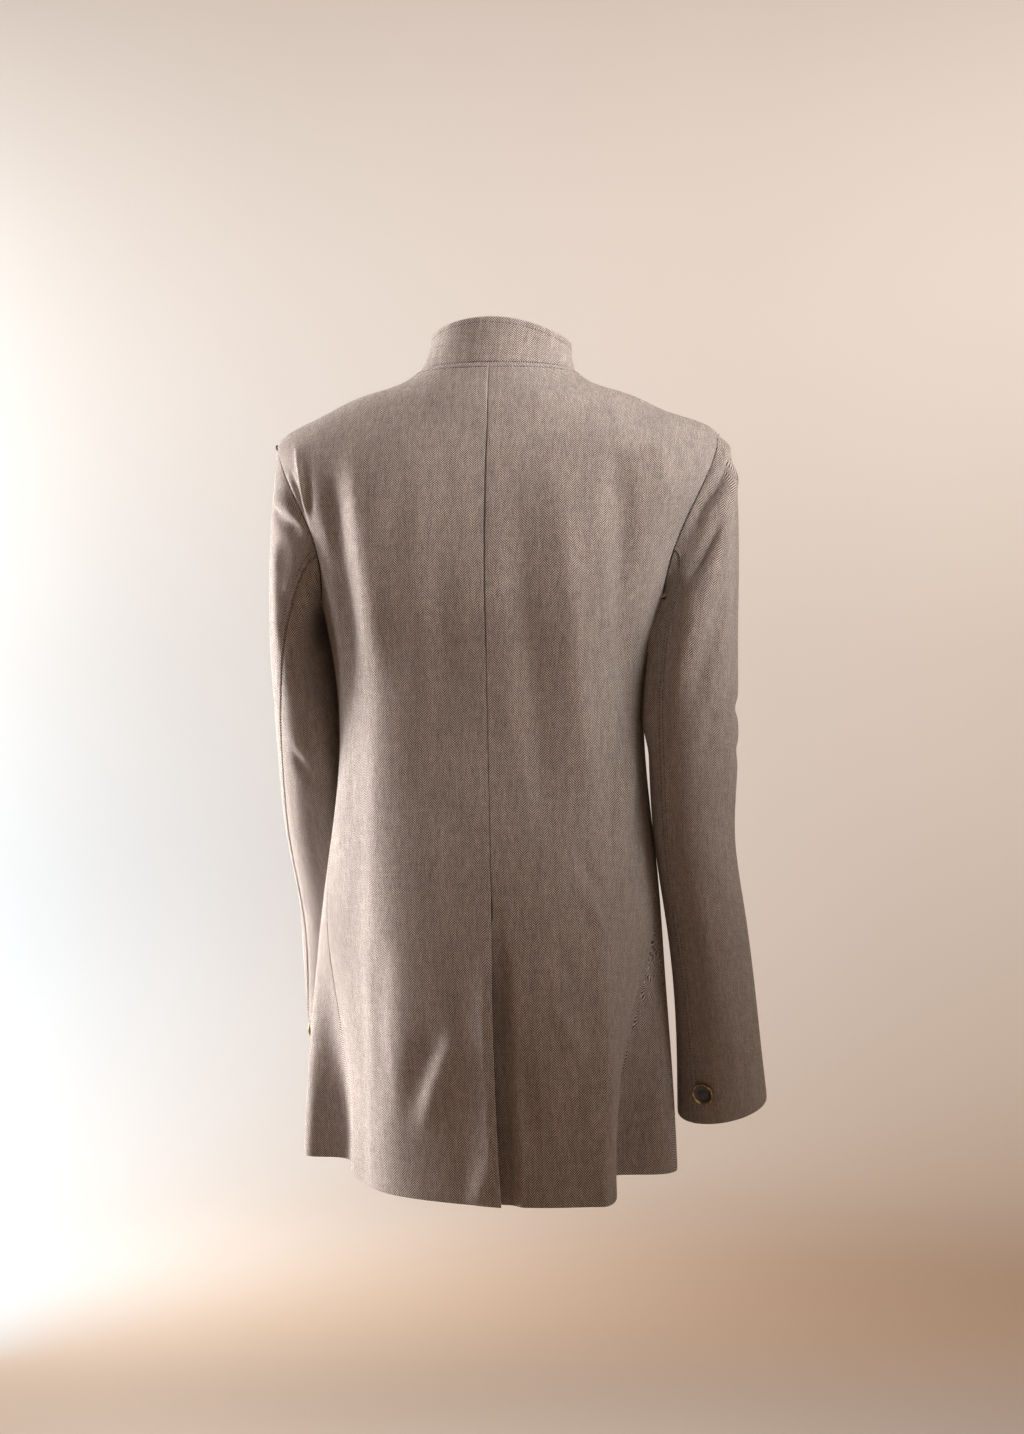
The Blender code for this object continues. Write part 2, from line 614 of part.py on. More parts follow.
def make_buttons(material):
    t = np.linspace(0.0, ring_t("hem"), 800)
    front_z = body_point(-1, np.full_like(t, 180.0), t)[:, 2]
    for number, height in enumerate(FRONT_BUTTON_HEIGHTS, 1):
        at = np.array(np.interp(-height, -front_z, t))
        centre = body_point(-1, 180.0, at)
        normal = body_normal(-1, 180.0, at)
        make_button(f"front_button_{number}", centre, normal, FRONT_BUTTON_RADIUS, material)
    for side, name in ((1, "left"), (-1, "right")):
        share, v = np.array(BACK_SEAM - 0.056), np.array(1.0 - CUFF_BUTTON_RISE)
        centre = sleeve_point(side, share, v)
        normal = sleeve_normal(side, share, v)
        make_button(f"cuff_button_{name}", centre, normal, CUFF_BUTTON_RADIUS, material)


def main():
    clear_scene()
    wool = make_material("herringbone_wool")
    make_body(wool)
    make_sleeves(wool)
    make_collar(make_material("collar_wool"))
    make_buttons(make_material("bronze_button"))


main()
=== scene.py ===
"""The look of a worn herringbone wool coat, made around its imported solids.

Every piece of cloth is a closed wall. Its outer face is a function of two parameters on a grid: the
coat's form, with soft ridges and troughs laid on it, edges that roll under at the seams, and
topstitching that draws it in. Metres, +Z up; the front faces -Y and the wearer's left is +X.
"""

import logging
import math
from dataclasses import dataclass
from enum import Enum
from typing import NamedTuple

import bpy
import numpy as np
from mathutils import Matrix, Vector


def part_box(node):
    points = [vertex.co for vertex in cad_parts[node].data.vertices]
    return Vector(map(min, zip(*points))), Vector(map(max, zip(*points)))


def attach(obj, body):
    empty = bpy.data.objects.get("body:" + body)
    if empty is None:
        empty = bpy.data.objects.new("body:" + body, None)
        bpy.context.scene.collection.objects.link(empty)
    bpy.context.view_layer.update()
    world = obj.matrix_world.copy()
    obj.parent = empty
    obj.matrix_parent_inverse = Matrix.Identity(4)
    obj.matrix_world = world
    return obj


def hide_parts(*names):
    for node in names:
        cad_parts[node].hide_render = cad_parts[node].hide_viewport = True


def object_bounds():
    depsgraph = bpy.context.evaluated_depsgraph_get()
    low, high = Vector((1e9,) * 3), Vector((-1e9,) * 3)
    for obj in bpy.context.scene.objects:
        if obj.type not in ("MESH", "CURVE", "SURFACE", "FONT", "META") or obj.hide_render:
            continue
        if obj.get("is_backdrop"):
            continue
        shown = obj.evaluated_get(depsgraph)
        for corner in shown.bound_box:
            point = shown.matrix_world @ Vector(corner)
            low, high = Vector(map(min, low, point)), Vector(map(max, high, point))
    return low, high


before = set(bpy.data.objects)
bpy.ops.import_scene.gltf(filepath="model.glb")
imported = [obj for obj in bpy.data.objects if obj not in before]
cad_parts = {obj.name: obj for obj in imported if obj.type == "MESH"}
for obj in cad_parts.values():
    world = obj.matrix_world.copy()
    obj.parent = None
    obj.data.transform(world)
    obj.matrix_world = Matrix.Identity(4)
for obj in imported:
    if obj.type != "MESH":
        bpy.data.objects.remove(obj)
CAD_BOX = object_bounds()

Array = np.ndarray
Point = tuple[float, float, float]
Colour = tuple[float, float, float]
Material = bpy.types.Material
Socket = bpy.types.NodeSocket
LOG = logging.getLogger("coat")
ROOT = "root"
MM = 0.001
FULL_TURN = 2 * math.pi


class Side(Enum):
    """The wearer's left or right, as the sign of X."""

    LEFT = 1
    RIGHT = -1

    def of(self, pair: tuple) -> float | tuple:
        """The left or the right one of a pair."""
        return pair[0 if self is Side.LEFT else 1]

    def mirror(self, points: Array) -> Array:
        """Points of a left side carried to this one."""
        return points * np.array([self.value, 1.0, 1.0])


class Face(Enum):
    """Which half of the body a panel covers."""

    BACK = "back"
    FRONT = "front"


class Slot(Enum):
    """The coat's material slots."""

    WOOL = "herringbone_wool"
    COLLAR = "collar_wool"
    BUTTON = "bronze_button"


# ---------------------------------------------------------------- curves


def smooth_step(value: Array) -> Array:
    """0 below 0, 1 above 1, and 3v^2 - 2v^3 between them."""
    value = np.clip(value, 0.0, 1.0)
    return value * value * (3.0 - 2.0 * value)


def unit(vectors: Array) -> Array:
    """Vectors divided by their own length."""
    return vectors / np.maximum(np.linalg.norm(vectors, axis=-1, keepdims=True), 1e-12)


def dot(first: Array, second: Array) -> Array:
    """The dot products along the last axis, which is kept."""
    return np.sum(first * second, axis=-1, keepdims=True)


def running(steps: Array, axis: int = 0) -> Array:
    """Nought and then the running sums of the steps along an axis."""
    total = np.cumsum(steps, axis=axis)
    return np.concatenate([np.zeros_like(np.take(total, [0], axis)), total], axis=axis)


def walked(points: Array, axis: int = 0) -> Array:
    """The distance walked through the points along an axis, from nought."""
    return running(np.linalg.norm(np.diff(points, axis=axis), axis=-1), axis)


def spline(knots: Array, values: Array, at: Array) -> Array:
    """A natural cubic spline: through values at knots, with no bend at either end.

    Args:
        knots: the rising places of the values.
        values: one number for each knot.
        at: where to read the curve.

    Returns:
        The curve's value at each place.
    """
    step = np.diff(knots)
    slope = np.diff(values) / step
    size = len(knots)
    system = np.eye(size)
    inner = np.arange(1, size - 1)
    system[inner, inner - 1] = step[:-1]
    system[inner, inner] = 2 * (step[:-1] + step[1:])
    system[inner, inner + 1] = step[1:]
    wanted = np.zeros(size)
    wanted[1:-1] = 6 * np.diff(slope)
    bend = np.linalg.solve(system, wanted)
    i = np.clip(np.searchsorted(knots, at, side="right") - 1, 0, size - 2)
    ahead, behind = at - knots[i], knots[i + 1] - at
    ends = (bend[i] * behind**3 + bend[i + 1] * ahead**3) / (6 * step[i])
    line = (values[i] / step[i] - bend[i] * step[i] / 6) * behind
    line += (values[i + 1] / step[i] - bend[i + 1] * step[i] / 6) * ahead
    return ends + line


@dataclass(frozen=True)
class RingTable:
    """Named rings with named sizes, from which splines are drawn."""

    columns: tuple[str, ...]
    rows: tuple[tuple, ...]

    def column(self, name: str) -> Array:
        """One size of every ring, in order."""
        return np.array([row[self.columns.index(name)] for row in self.rows], float)

    def line(self, *names: str) -> Array:
        """Several sizes of every ring, side by side."""
        return np.stack([self.column(name) for name in names], 1)

    def place(self, ring: str) -> int:
        """The index of a ring by its name."""
        return [row[0] for row in self.rows].index(ring)


# ---------------------------------------------------------------- the body's form

BODY_COLUMNS = (
    "name", "side_z", "half_width", "centre_x", "side_y", "skew_y", "droop_z", "back_x", "back_y",
    "back_z", "front_y", "front_z", "square", "seam",
)
BODY_RINGS = RingTable(BODY_COLUMNS, (
    ("neckline", 0.004, 0.073, -0.004, 0, 0, 0, -0.003, 0.064, 0.003, -0.078, -0.064, 2, 90),
    ("neck root", -0.006, 0.086, -0.003, 0.001, 0, 0, -0.003, 0.071,
     -0.009, -0.087, -0.075, 2.02, 90),
    ("yoke", -0.021, 0.128, -0.001, 0.003, 0, 0, -0.004, 0.085, -0.032, -0.101, -0.096, 2.1, 90),
    ("shoulder", -0.0401, 0.168, -0.0005, 0.005, 0, 0.0008, -0.005,
     0.098, -0.06, -0.112, -0.118, 2.2, 90),
    ("tip", -0.0622, 0.2065, -0.0035, 0.006, 0, 0.0027, -0.005,
     0.109, -0.09, -0.121, -0.142, 2.3, 90),
    ("scye", -0.102, 0.2035, -0.002, 0.005, 0, 0.002, -0.005, 0.1165,
     -0.128, -0.127, -0.172, 2.35, 90),
    ("blade", -0.152, 0.182, 0, 0.003, 0, 0.0005, -0.005, 0.12, -0.172, -0.131, -0.204, 2.35, 90),
    ("armpit", -0.215, 0.16, 0.001, 0, 0, 0, -0.0055, 0.119, -0.225, -0.131, -0.238, 2.3, 90),
    ("ribs", -0.262, 0.149, 0.003, -0.002, 0, 0, -0.0055, 0.11, -0.265, -0.124, -0.268, 2.2, 90),
    ("waist", -0.35, 0.144, 0.0023, -0.004, 0, 0, -0.006, 0.099, -0.35, -0.112, -0.35, 2.1, 89),
    ("high hip", -0.454, 0.1555, 0.003, -0.006, 0.002, 0, -0.0105,
     0.118, -0.454, -0.112, -0.454, 2, 80),
    ("hip", -0.56, 0.1675, 0.0065, -0.01, 0.006, 0, -0.0145, 0.136, -0.56, -0.122, -0.56, 2, 72),
    ("skirt", -0.66, 0.1774, 0.0085, -0.015, 0.012, 0, -0.019, 0.143, -0.66, -0.133, -0.66, 2, 70),
    ("hem", -0.745, 0.1832, 0.0097, -0.021, 0.017, 0, -0.024, 0.147, -0.745, -0.142, -0.745, 2, 70),
))


@dataclass(frozen=True)
class Fold:
    """A large fold of the skirt: a bell across angle that grows from top_z to full_z."""

    side: Side
    angle: float
    spread: float
    top_z: float
    full_z: float
    aside: float
    back: float

    def shift(self, side: Side, angle: Array, z: Array) -> tuple[Array, Array]:
        """How far it moves points aside and back.

        Args:
            side: the half of the body the points are on.
            angle: degrees round from centre back.
            z: their height.

        Returns:
            The shifts outward from the centre line and toward the back.
        """
        if side is not self.side:
            return np.zeros_like(z), np.zeros_like(z)
        amount = np.exp(-(((angle - self.angle) / self.spread) ** 2))
        amount = amount * smooth_step((z - self.top_z) / (self.full_z - self.top_z))
        return self.aside * amount, self.back * amount


BODY_FOLDS = (
    Fold(Side.LEFT, 56, 20, -0.360, -0.690, -0.032, 0.001),
    Fold(Side.LEFT, 74, 10, -0.500, -0.745, -0.024, -0.036),
    Fold(Side.RIGHT, 46, 14, -0.480, -0.745, -0.016, 0.022),
    Fold(Side.RIGHT, 68, 13, -0.480, -0.745, -0.056, -0.036),
)


class ArmholeFrame(NamedTuple):
    """What a sleeve needs to know at each place round the armhole."""

    point: Array
    leaves: Array


def hole_depth(share: Array) -> Array:
    """How far down the armhole a share of the way round it lies: 0 at the tip, 1 at the armpit."""
    return 0.5 - 0.5 * np.cos(FULL_TURN * share)


@dataclass(frozen=True)
class BodyForm:
    """The surface of the body from the neckline to the hem, and the armholes on it."""

    rings: RingTable = BODY_RINGS
    folds: tuple[Fold, ...] = BODY_FOLDS
    armhole_back: tuple[float, float] = (31.0, 18.0)
    armhole_front: float = 29.0
    armhole_fullness: float = 0.72
    cap_leaves: tuple[tuple[float, ...], ...] = ((0.02, 0.50, -0.52), (0.45, 0.52, -0.35))
    share_step: float = 0.004

    def knots(self) -> Array:
        """t of each ring: the distance down the side line from the neckline."""
        return walked(self.rings.line("half_width", "side_y", "side_z"))

    def ring_t(self, ring: str) -> float:
        """t of a ring by its name."""
        return float(self.knots()[self.rings.place(ring)])

    def value(self, name: str, t: Array) -> Array:
        """One ring size at any t."""
        return spline(self.knots(), self.rings.column(name), t)

    def point(self, side: Side, angle: Array, t: Array) -> Array:
        """The outer surface.

        With S and C the sine and cosine of the angle raised to 2/square, x is the centre plus S
        half-widths, y goes from the side line to the back line by C or to the front line by -C,
        and z from the side's height to the back's or front's by C squared; then come the folds.

        Args:
            side: the half of the body.
            angle: degrees from centre back toward the side.
            t: metres down the side line.

        Returns:
            The points, in the arrays' common shape with a last axis of three.
        """
        angle, t = np.broadcast_arrays(np.asarray(angle, float), np.asarray(t, float))
        ring = {name: self.value(name, t) for name in self.rings.columns[1:]}
        turn = np.radians(angle)
        power = 2.0 / ring["square"]
        across = np.sign(np.sin(turn)) * np.abs(np.sin(turn)) ** power
        along = np.sign(np.cos(turn)) * np.abs(np.cos(turn)) ** power
        to_back, to_front = np.clip(along, 0.0, None), np.clip(-along, 0.0, None)
        x = ring["centre_x"] + side.value * ring["half_width"] * across
        x = x + (ring["back_x"] - ring["centre_x"]) * to_back**2
        y = ring["side_y"] - side.value * ring["skew_y"] * across
        y = y + (ring["back_y"] - ring["side_y"]) * to_back
        y = y + (ring["front_y"] - ring["side_y"]) * to_front
        z = ring["side_z"] - side.value * ring["droop_z"] * across
        z = z + (ring["back_z"] - ring["side_z"]) * to_back**2
        z = z + (ring["front_z"] - ring["side_z"]) * to_front**2
        for fold in self.folds:
            aside, back = fold.shift(side, angle, z)
            x, y = x + side.value * aside, y + back
        return np.stack([x, y, z], -1)

    def armhole_place(self, side: Side, share: Array) -> tuple[Array, Array]:
        """Where the armhole runs on the body.

        Args:
            side: which armhole.
            share: of the way round it: 0 is the tip, a quarter the back.

        Returns:
            (angle, t).
        """
        reach = np.abs(np.sin(FULL_TURN * share)) ** self.armhole_fullness
        back = side.of(self.armhole_back)
        angle = 90.0 + np.where(share < 0.5, -back, self.armhole_front) * reach
        tip, armpit = self.ring_t("tip"), self.ring_t("armpit")
        return angle, tip + (armpit - tip) * hole_depth(share)

    def armhole_point(self, side: Side, share: Array) -> Array:
        """The armhole's points at shares of the way round it."""
        return self.point(side, *self.armhole_place(side, np.mod(share, 1.0)))

    def armhole(self, side: Side, share: Array) -> ArmholeFrame:
        """The armhole's points and directions.

        Args:
            side: which armhole.
            share: shares of the way round it.

        Returns:
            The points, and the direction in which the sleeve leaves each, square to the curve.
        """
        share = np.asarray(share, float)
        before = self.armhole_point(side, share - self.share_step)
        tangent = unit(self.armhole_point(side, share + self.share_step) - before)
        at_tip, at_armpit, up = side.of(self.cap_leaves)
        leaves = np.zeros_like(tangent)
        leaves[..., 0] = side.value * (at_tip + (at_armpit - at_tip) * hole_depth(share))
        leaves[..., 2] = up
        leaves = leaves - tangent * dot(leaves, tangent)
        return ArmholeFrame(self.armhole_point(side, share), leaves)


BODY = BodyForm()

# ---------------------------------------------------------------- the sleeves' form

SLEEVE_COLUMNS = ("name", "out", "fore", "z", "half_out", "half_fore", "roll")
RIGHT_ARM = RingTable(SLEEVE_COLUMNS, (
    ("upper arm", 0.1896, 0.002, -0.256, 0.0386, 0.061, 26),
    ("above elbow", 0.1873, 0.007, -0.306, 0.0412, 0.058, 26),
    ("elbow top", 0.187, 0.01, -0.36, 0.041, 0.054, 24),
    ("elbow", 0.188, 0.008, -0.43, 0.0375, 0.05, 24),
    ("forearm", 0.198, -0.004, -0.505, 0.037, 0.047, 26),
    ("low forearm", 0.207, -0.022, -0.585, 0.0382, 0.044, 22),
    ("cuff", 0.2135, -0.047, -0.689, 0.0425, 0.0425, 18),
))
LEFT_ARM = RingTable(SLEEVE_COLUMNS, (
    ("upper arm", 0.1862, -0.014, -0.256, 0.027, 0.066, -36),
    ("above elbow", 0.1812, -0.031, -0.306, 0.0333, 0.061, -58),
    ("elbow top", 0.1784, -0.054, -0.36, 0.0375, 0.056, -68),
    ("elbow", 0.1768, -0.078, -0.425, 0.038, 0.05, -72),
    ("forearm", 0.1695, -0.107, -0.5, 0.038, 0.046, -74),
    ("low forearm", 0.1685, -0.134, -0.58, 0.0395, 0.043, -76),
    ("cuff", 0.1605, -0.163, -0.674, 0.0415, 0.042, -136),
))


@dataclass(frozen=True)
class SleeveForm:
    """A whole sleeve, from the armhole at v = 0 to the cuff at v = 1."""

    side: Side
    rings: RingTable
    body: BodyForm = BODY
    cap_share: float = 0.30
    cuff_rise: float = 0.005
    cuff_rise_from: float = 0.90
    axis_step: float = 0.005
    end_step: float = 0.01

    def knots(self) -> Array:
        """v of each ring, by the distance down the arm."""
        steps = walked(self.rings.line("out", "fore", "z"))
        return self.cap_share + (1 - self.cap_share) * steps / steps[-1]

    def size(self, name: str, v: Array) -> Array:
        """One ring size at any v, with a last axis of one."""
        return spline(self.knots(), self.rings.column(name), v)[..., None]

    def middle(self, v: Array) -> Array:
        """The centre line of a left arm."""
        return np.concatenate([self.size(name, v) for name in ("out", "fore", "z")], -1)

    def axis(self, v: Array) -> Array:
        """The direction down the centre line of a left arm."""
        return unit(self.middle(v + self.axis_step) - self.middle(v - self.axis_step))

    def arm_point(self, share: Array, v: Array) -> Array:
        """The sleeve below the cap: an oval round the centre line, turned by roll.

        A point is the centre plus half_out times the cosine of its turn outward and half_fore
        times its sine backward; near the cuff it rises with the cosine, so the cuff slants.

        Args:
            share: of the way round, from the outer line toward the back.
            v: down the sleeve, from cap_share to 1.

        Returns:
            The points.
        """
        axis = self.axis(v)
        outward = np.zeros_like(axis)
        outward[..., 0] = 1.0
        outward = unit(outward - axis * dot(outward, axis))
        backward = np.cross(outward, axis)
        backward = backward * np.sign(backward[..., 1:2])
        turn = FULL_TURN * share[..., None] + np.radians(self.size("roll", v))
        point = self.middle(v) + outward * self.size("half_out", v) * np.cos(turn)
        point = point + backward * self.size("half_fore", v) * np.sin(turn)
        low = smooth_step((v - self.cuff_rise_from) / (1 - self.cuff_rise_from))
        point[..., 2] += self.cuff_rise * np.cos(turn[..., 0]) * low
        return self.side.mirror(point)

    def point(self, share: Array, v: Array) -> Array:
        """The whole sleeve's outer surface.

        The cap is a Hermite curve that leaves the armhole in its own direction and joins the
        arm's direction at cap_share.

        Args:
            share: of the way round, from the outer line toward the back.
            v: 0 at the armhole, 1 at the cuff.

        Returns:
            The points.
        """
        share, v = np.broadcast_arrays(np.asarray(share, float), np.asarray(v, float))
        top = np.full_like(v, self.cap_share)
        hole = self.body.armhole(self.side, share)
        end = self.arm_point(share, top)
        end_way = unit(self.arm_point(share, top + self.end_step) - end)
        reach = np.linalg.norm(end - hole.point, axis=-1, keepdims=True)
        w = np.clip(v / self.cap_share, 0.0, 1.0)[..., None]
        cap = hole.point * (2 * w**3 - 3 * w**2 + 1) + hole.leaves * reach * (w**3 - 2 * w**2 + w)
        cap = cap + end * (3 * w**2 - 2 * w**3) + end_way * reach * (w**3 - w**2)
        arm = self.arm_point(share, np.maximum(v, self.cap_share))
        return np.where((v < self.cap_share)[..., None], cap, arm)

    def down(self, v: Array) -> Array:
        """The direction down the arm at each place, for the grain of the cloth."""
        return self.side.mirror(self.axis(np.maximum(v, self.cap_share)))


# ---------------------------------------------------------------- creases, edges and grids

CHORDS = 12
HELD = 9.0 * MM
CLOTH = 2.0 * MM
ROLL_SHARE = 0.48
MOST_GAP = 0.4
SEAM_DIP = 0.30 * MM
TURNED_HEM = 0.030
EDGE_STEPS = np.array([0, 0.28, 0.48, 0.72, 1.05, 1.7, 2.8, 4.2, 5.2, 5.9, 6.6, 7.6, 9.5]) * MM
SIDEWAYS = ("left", "right")


@dataclass(frozen=True)
class Crease:
    """A soft ridge or trough, placed in the cloth's own sizes.

    line holds its start, bend and end as (across, down) in metres, across from the piece's
    straight grain and down from its top. It is a bell across its line, with its own reach on each
    side of it, and fades in and out along it.
    """

    line: Array
    lift: float
    reach: tuple[float, float]
    fade: float

    def height(self, across: Array, down: Array) -> Array:
        """Its height over every point of a grid.

        The line is a quadratic curve in short chords. A point takes its distance from the nearest
        chord, and the side it lies on from the sign of the cross product.

        Args:
            across: the points' places across the cloth.
            down: and down it.

        Returns:
            The height to add, in metres.
        """
        s = np.linspace(0.0, 1.0, CHORDS + 1)[:, None]
        start, bend, end = self.line
        path = start * (1 - s) ** 2 + 2 * bend * s * (1 - s) + end * s**2
        here = np.stack([across, down], -1)[..., None, :]
        step = np.diff(path, axis=0)
        length = np.sum(step * step, -1)
        share = np.clip(np.sum((here - path[:-1]) * step, -1) / length, 0.0, 1.0)
        offset = here - path[:-1] - step * share[..., None]
        distance = np.linalg.norm(offset, axis=-1)
        nearest = np.argmin(distance, axis=-1)[..., None]
        turned = offset[..., 0] * step[:, 1] - offset[..., 1] * step[:, 0]
        turned, away, share = (
            np.take_along_axis(each, nearest, -1)[..., 0] for each in (turned, distance, share)
        )
        along = (nearest[..., 0] + share) / CHORDS
        reach = np.where(turned > 0, self.reach[0], self.reach[1])
        ends = smooth_step(along / self.fade) * smooth_step((1 - along) / self.fade)
        return self.lift * np.exp(-((away / reach) ** 2)) * ends


@dataclass(frozen=True)
class Edge:
    """How one edge of a piece is finished."""

    gap: float = 0.15 * MM
    stitched: float = 0.0
    raised: float = 0.0
    turned: float = 0.0
    dip_reach: float = 3.0 * MM
    groove: float = 0.30 * MM
    groove_reach: float = 0.8 * MM
    strip_beyond: float = 0.9 * MM
    hem_step: float = 1.3 * MM
    ease: float = 1.6 * MM

    def outer(self, distance: Array, roll: float) -> Array:
        """How far the outer face moves out.

        It rolls under in a quarter circle and dips a little at a seam. A topstitched strip stands
        proud up to its stitching, which draws a groove.

        Args:
            distance: of each point in from the edge.
            roll: the quarter circle's radius.

        Returns:
            The height to add at each point.
        """
        dip = SEAM_DIP * np.exp(-((distance / self.dip_reach) ** 2))
        change = -self.rolled(distance, roll) - dip
        if self.stitched:
            strip = smooth_step((self.stitched + self.strip_beyond - distance) / self.ease)
            groove = np.exp(-(((distance - self.stitched) / self.groove_reach) ** 2))
            change = change + self.raised * strip - self.groove * groove
        return change

    def inner(self, distance: Array, roll: float) -> Array:
        """How far the inner face moves out: over at the edge, and in over a turned hem.

        Args:
            distance: of each point in from the edge.
            roll: the quarter circle's radius.

        Returns:
            The height to add at each point.
        """
        change = self.rolled(distance, roll)
        if self.turned:
            change = change - self.hem_step * smooth_step((self.turned - distance) / self.ease)
        return change

    def rolled(self, distance: Array, roll: float) -> Array:
        """The depth of a quarter circle at each distance in from the edge."""
        inside = np.clip(distance, 0.0, roll)
        return roll - np.sqrt(np.maximum(roll**2 - (roll - inside) ** 2, 0.0))


class Sheet(NamedTuple):
    """A finished grid of cloth: both faces, the cloth's own coordinates, the outward directions,
    each point's distance from each edge, and which of its cells have cloth."""

    outer: Array
    inner: Array
    across: Array
    down: Array
    normal: Array
    from_edge: dict[str, Array]
    cells: Array


def crowded(count: int, span: float, start: bool = True, end: bool = True) -> Array:
    """Shares from 0 to 1 that stand close together near finished edges.

    Args:
        count: how many steps the even part has.
        span: the usual length of the whole, in metres.
        start: whether the points crowd at 0.
        end: whether they crowd at 1.

    Returns:
        The rising shares.
    """
    fine = EDGE_STEPS / span
    first = fine if start else fine[:1]
    last = 1.0 - fine[::-1] if end else 1.0 - fine[:1]
    return np.concatenate([first, np.linspace(first[-1], last[0], count + 1)[1:-1], last])


def grid_normals(points: Array) -> Array:
    """Outward unit directions of a curved grid: the cross product of its two slopes, turned so that
    on the whole they point away from the middle of each row."""
    normal = unit(np.cross(np.gradient(points, axis=1), np.gradient(points, axis=0)))
    return normal * np.sign(dot(normal, points - points.mean(axis=1, keepdims=True)).sum())


def grain(
    points: Array, normal: Array, warp: Array, column: int, row: int | None
) -> tuple[Array, Array]:
    """The cloth's own coordinates over a grid.

    Every step from point to point adds its part across the warp to across and its part along the
    warp to down. The steps are taken along each row from the straight grain, which is one column;
    or, where a row is given, along that row from the grain and then up and down the columns.

    Args:
        points: the grid.
        normal: its outward directions.
        warp: the warp's direction at each point, along the surface.
        column: the straight grain, where across is nought.
        row: the row to start from, if the columns are to be followed.

    Returns:
        (across, down) in metres.
    """
    parts = []
    for way in (unit(np.cross(warp, normal)), warp):
        beside = np.diff(points, axis=1) * (way[:, 1:] + way[:, :-1]) / 2
        below = np.diff(points, axis=0) * (way[1:] + way[:-1]) / 2
        along = running(beside.sum(-1), 1)
        parts.append((along - along[:, column : column + 1], running(below.sum(-1), 0)))
    (across, aslant), (droop, down) = parts
    if row is None:
        return across, droop + down[:, column : column + 1]
    across = across[row] + aslant - aslant[row]
    down = droop[row] + down - down[row]
    return across, down - down[0, column]


def pull_in(points: Array, normal: Array, gaps: dict[str, float]) -> Array:
    """Moves the edges of a grid into it, along the surface and square to the edge.

    No edge moves by more than MOST_GAP of the grid's first step, so its lines never cross.

    Args:
        points: the grid.
        normal: its outward directions.
        gaps: the distance for each edge by name: top, bottom, left or right.

    Returns:
        The moved grid.
    """
    moved = points.copy()
    for edge, gap in gaps.items():
        first, second = (0, 1) if edge in ("top", "left") else (-1, -2)
        pick = (slice(None), first) if edge in SIDEWAYS else (first,)
        within = (slice(None), second) if edge in SIDEWAYS else (second,)
        inward = unit(np.cross(normal[pick], np.gradient(points[pick], axis=0)))
        step = points[within] - points[pick]
        inward = inward * np.sign(dot(inward, step))
        moved[pick] += inward * np.minimum(gap, MOST_GAP * np.linalg.norm(step, axis=-1))[..., None]
    return moved


def edge_distances(points: Array) -> dict[str, Array]:
    """Each point's distance from the four edges, measured along the grid's lines."""
    along, fall = walked(points, 1), walked(points, 0)
    return {"left": along, "right": along[:, -1:] - along, "top": fall, "bottom": fall[-1:] - fall}


def finish_sheet(
    points: Array, warp: Array, start: tuple[int, int | None], thickness: float,
    edges: dict[str, Edge], creases: tuple[Crease, ...], left_from: Array | int = 0,
    cells: Array | None = None,
) -> Sheet:
    """Turns a smooth grid into cloth.

    The creases move it along its outward directions, but a seam holds it still. The edges roll,
    dip and stand proud by their distances. The inner face lies a thickness inside.

    Args:
        points: the form's grid.
        warp: the warp's direction at each point.
        start: the column of the straight grain, and the row to start from, as grain takes them.
        thickness: of the cloth.
        edges: the finish of each edge by name.
        creases: the ridges and troughs.
        left_from: the column where the left edge lies, for each row.
        cells: which cells have cloth; all of them if None.

    Returns:
        The finished sheet.
    """
    normal = grid_normals(points)
    warp = unit(warp - normal * dot(warp, normal))
    points = pull_in(points, normal, {name: edge.gap for name, edge in edges.items()})
    across, down = grain(points, normal, warp, *start)
    flat = np.zeros_like(across)
    height = sum((crease.height(across, down) for crease in creases), flat)
    from_edge = edge_distances(points)
    left = from_edge["left"]
    from_edge["left"] = np.abs(left - left[np.arange(len(left)), left_from][:, None])
    for name, edge in edges.items():
        if not edge.turned:
            height = height * smooth_step(from_edge[name] / HELD)
    outer = points + normal * height[..., None]
    normal = grid_normals(outer)
    roll = ROLL_SHARE * thickness
    out = sum((edge.outer(from_edge[name], roll) for name, edge in edges.items()), flat)
    rise = sum((edge.inner(from_edge[name], roll) for name, edge in edges.items()), flat)
    inner = outer - normal * (thickness - np.minimum(rise, roll))[..., None]
    outer = outer + normal * np.maximum(out, -roll - SEAM_DIP)[..., None]
    if cells is None:
        cells = np.ones((len(points) - 1, len(points[0]) - 1), bool)
    return Sheet(outer, inner, across, down, normal, from_edge, cells)


# ---------------------------------------------------------------- meshes


def add_piece(name: str, mesh: bpy.types.Mesh, materials: list[Material]) -> bpy.types.Object:
    """Links a mesh as an object at the origin, smooth, with its materials.

    Args:
        name: the piece's name.
        mesh: its mesh, already in place.
        materials: one for each of the mesh's material numbers.

    Returns:
        The object.
    """
    mesh.shade_smooth()
    for material in materials:
        mesh.materials.append(material)
    obj = bpy.data.objects.new(name, mesh)
    bpy.context.scene.collection.objects.link(obj)
    return obj


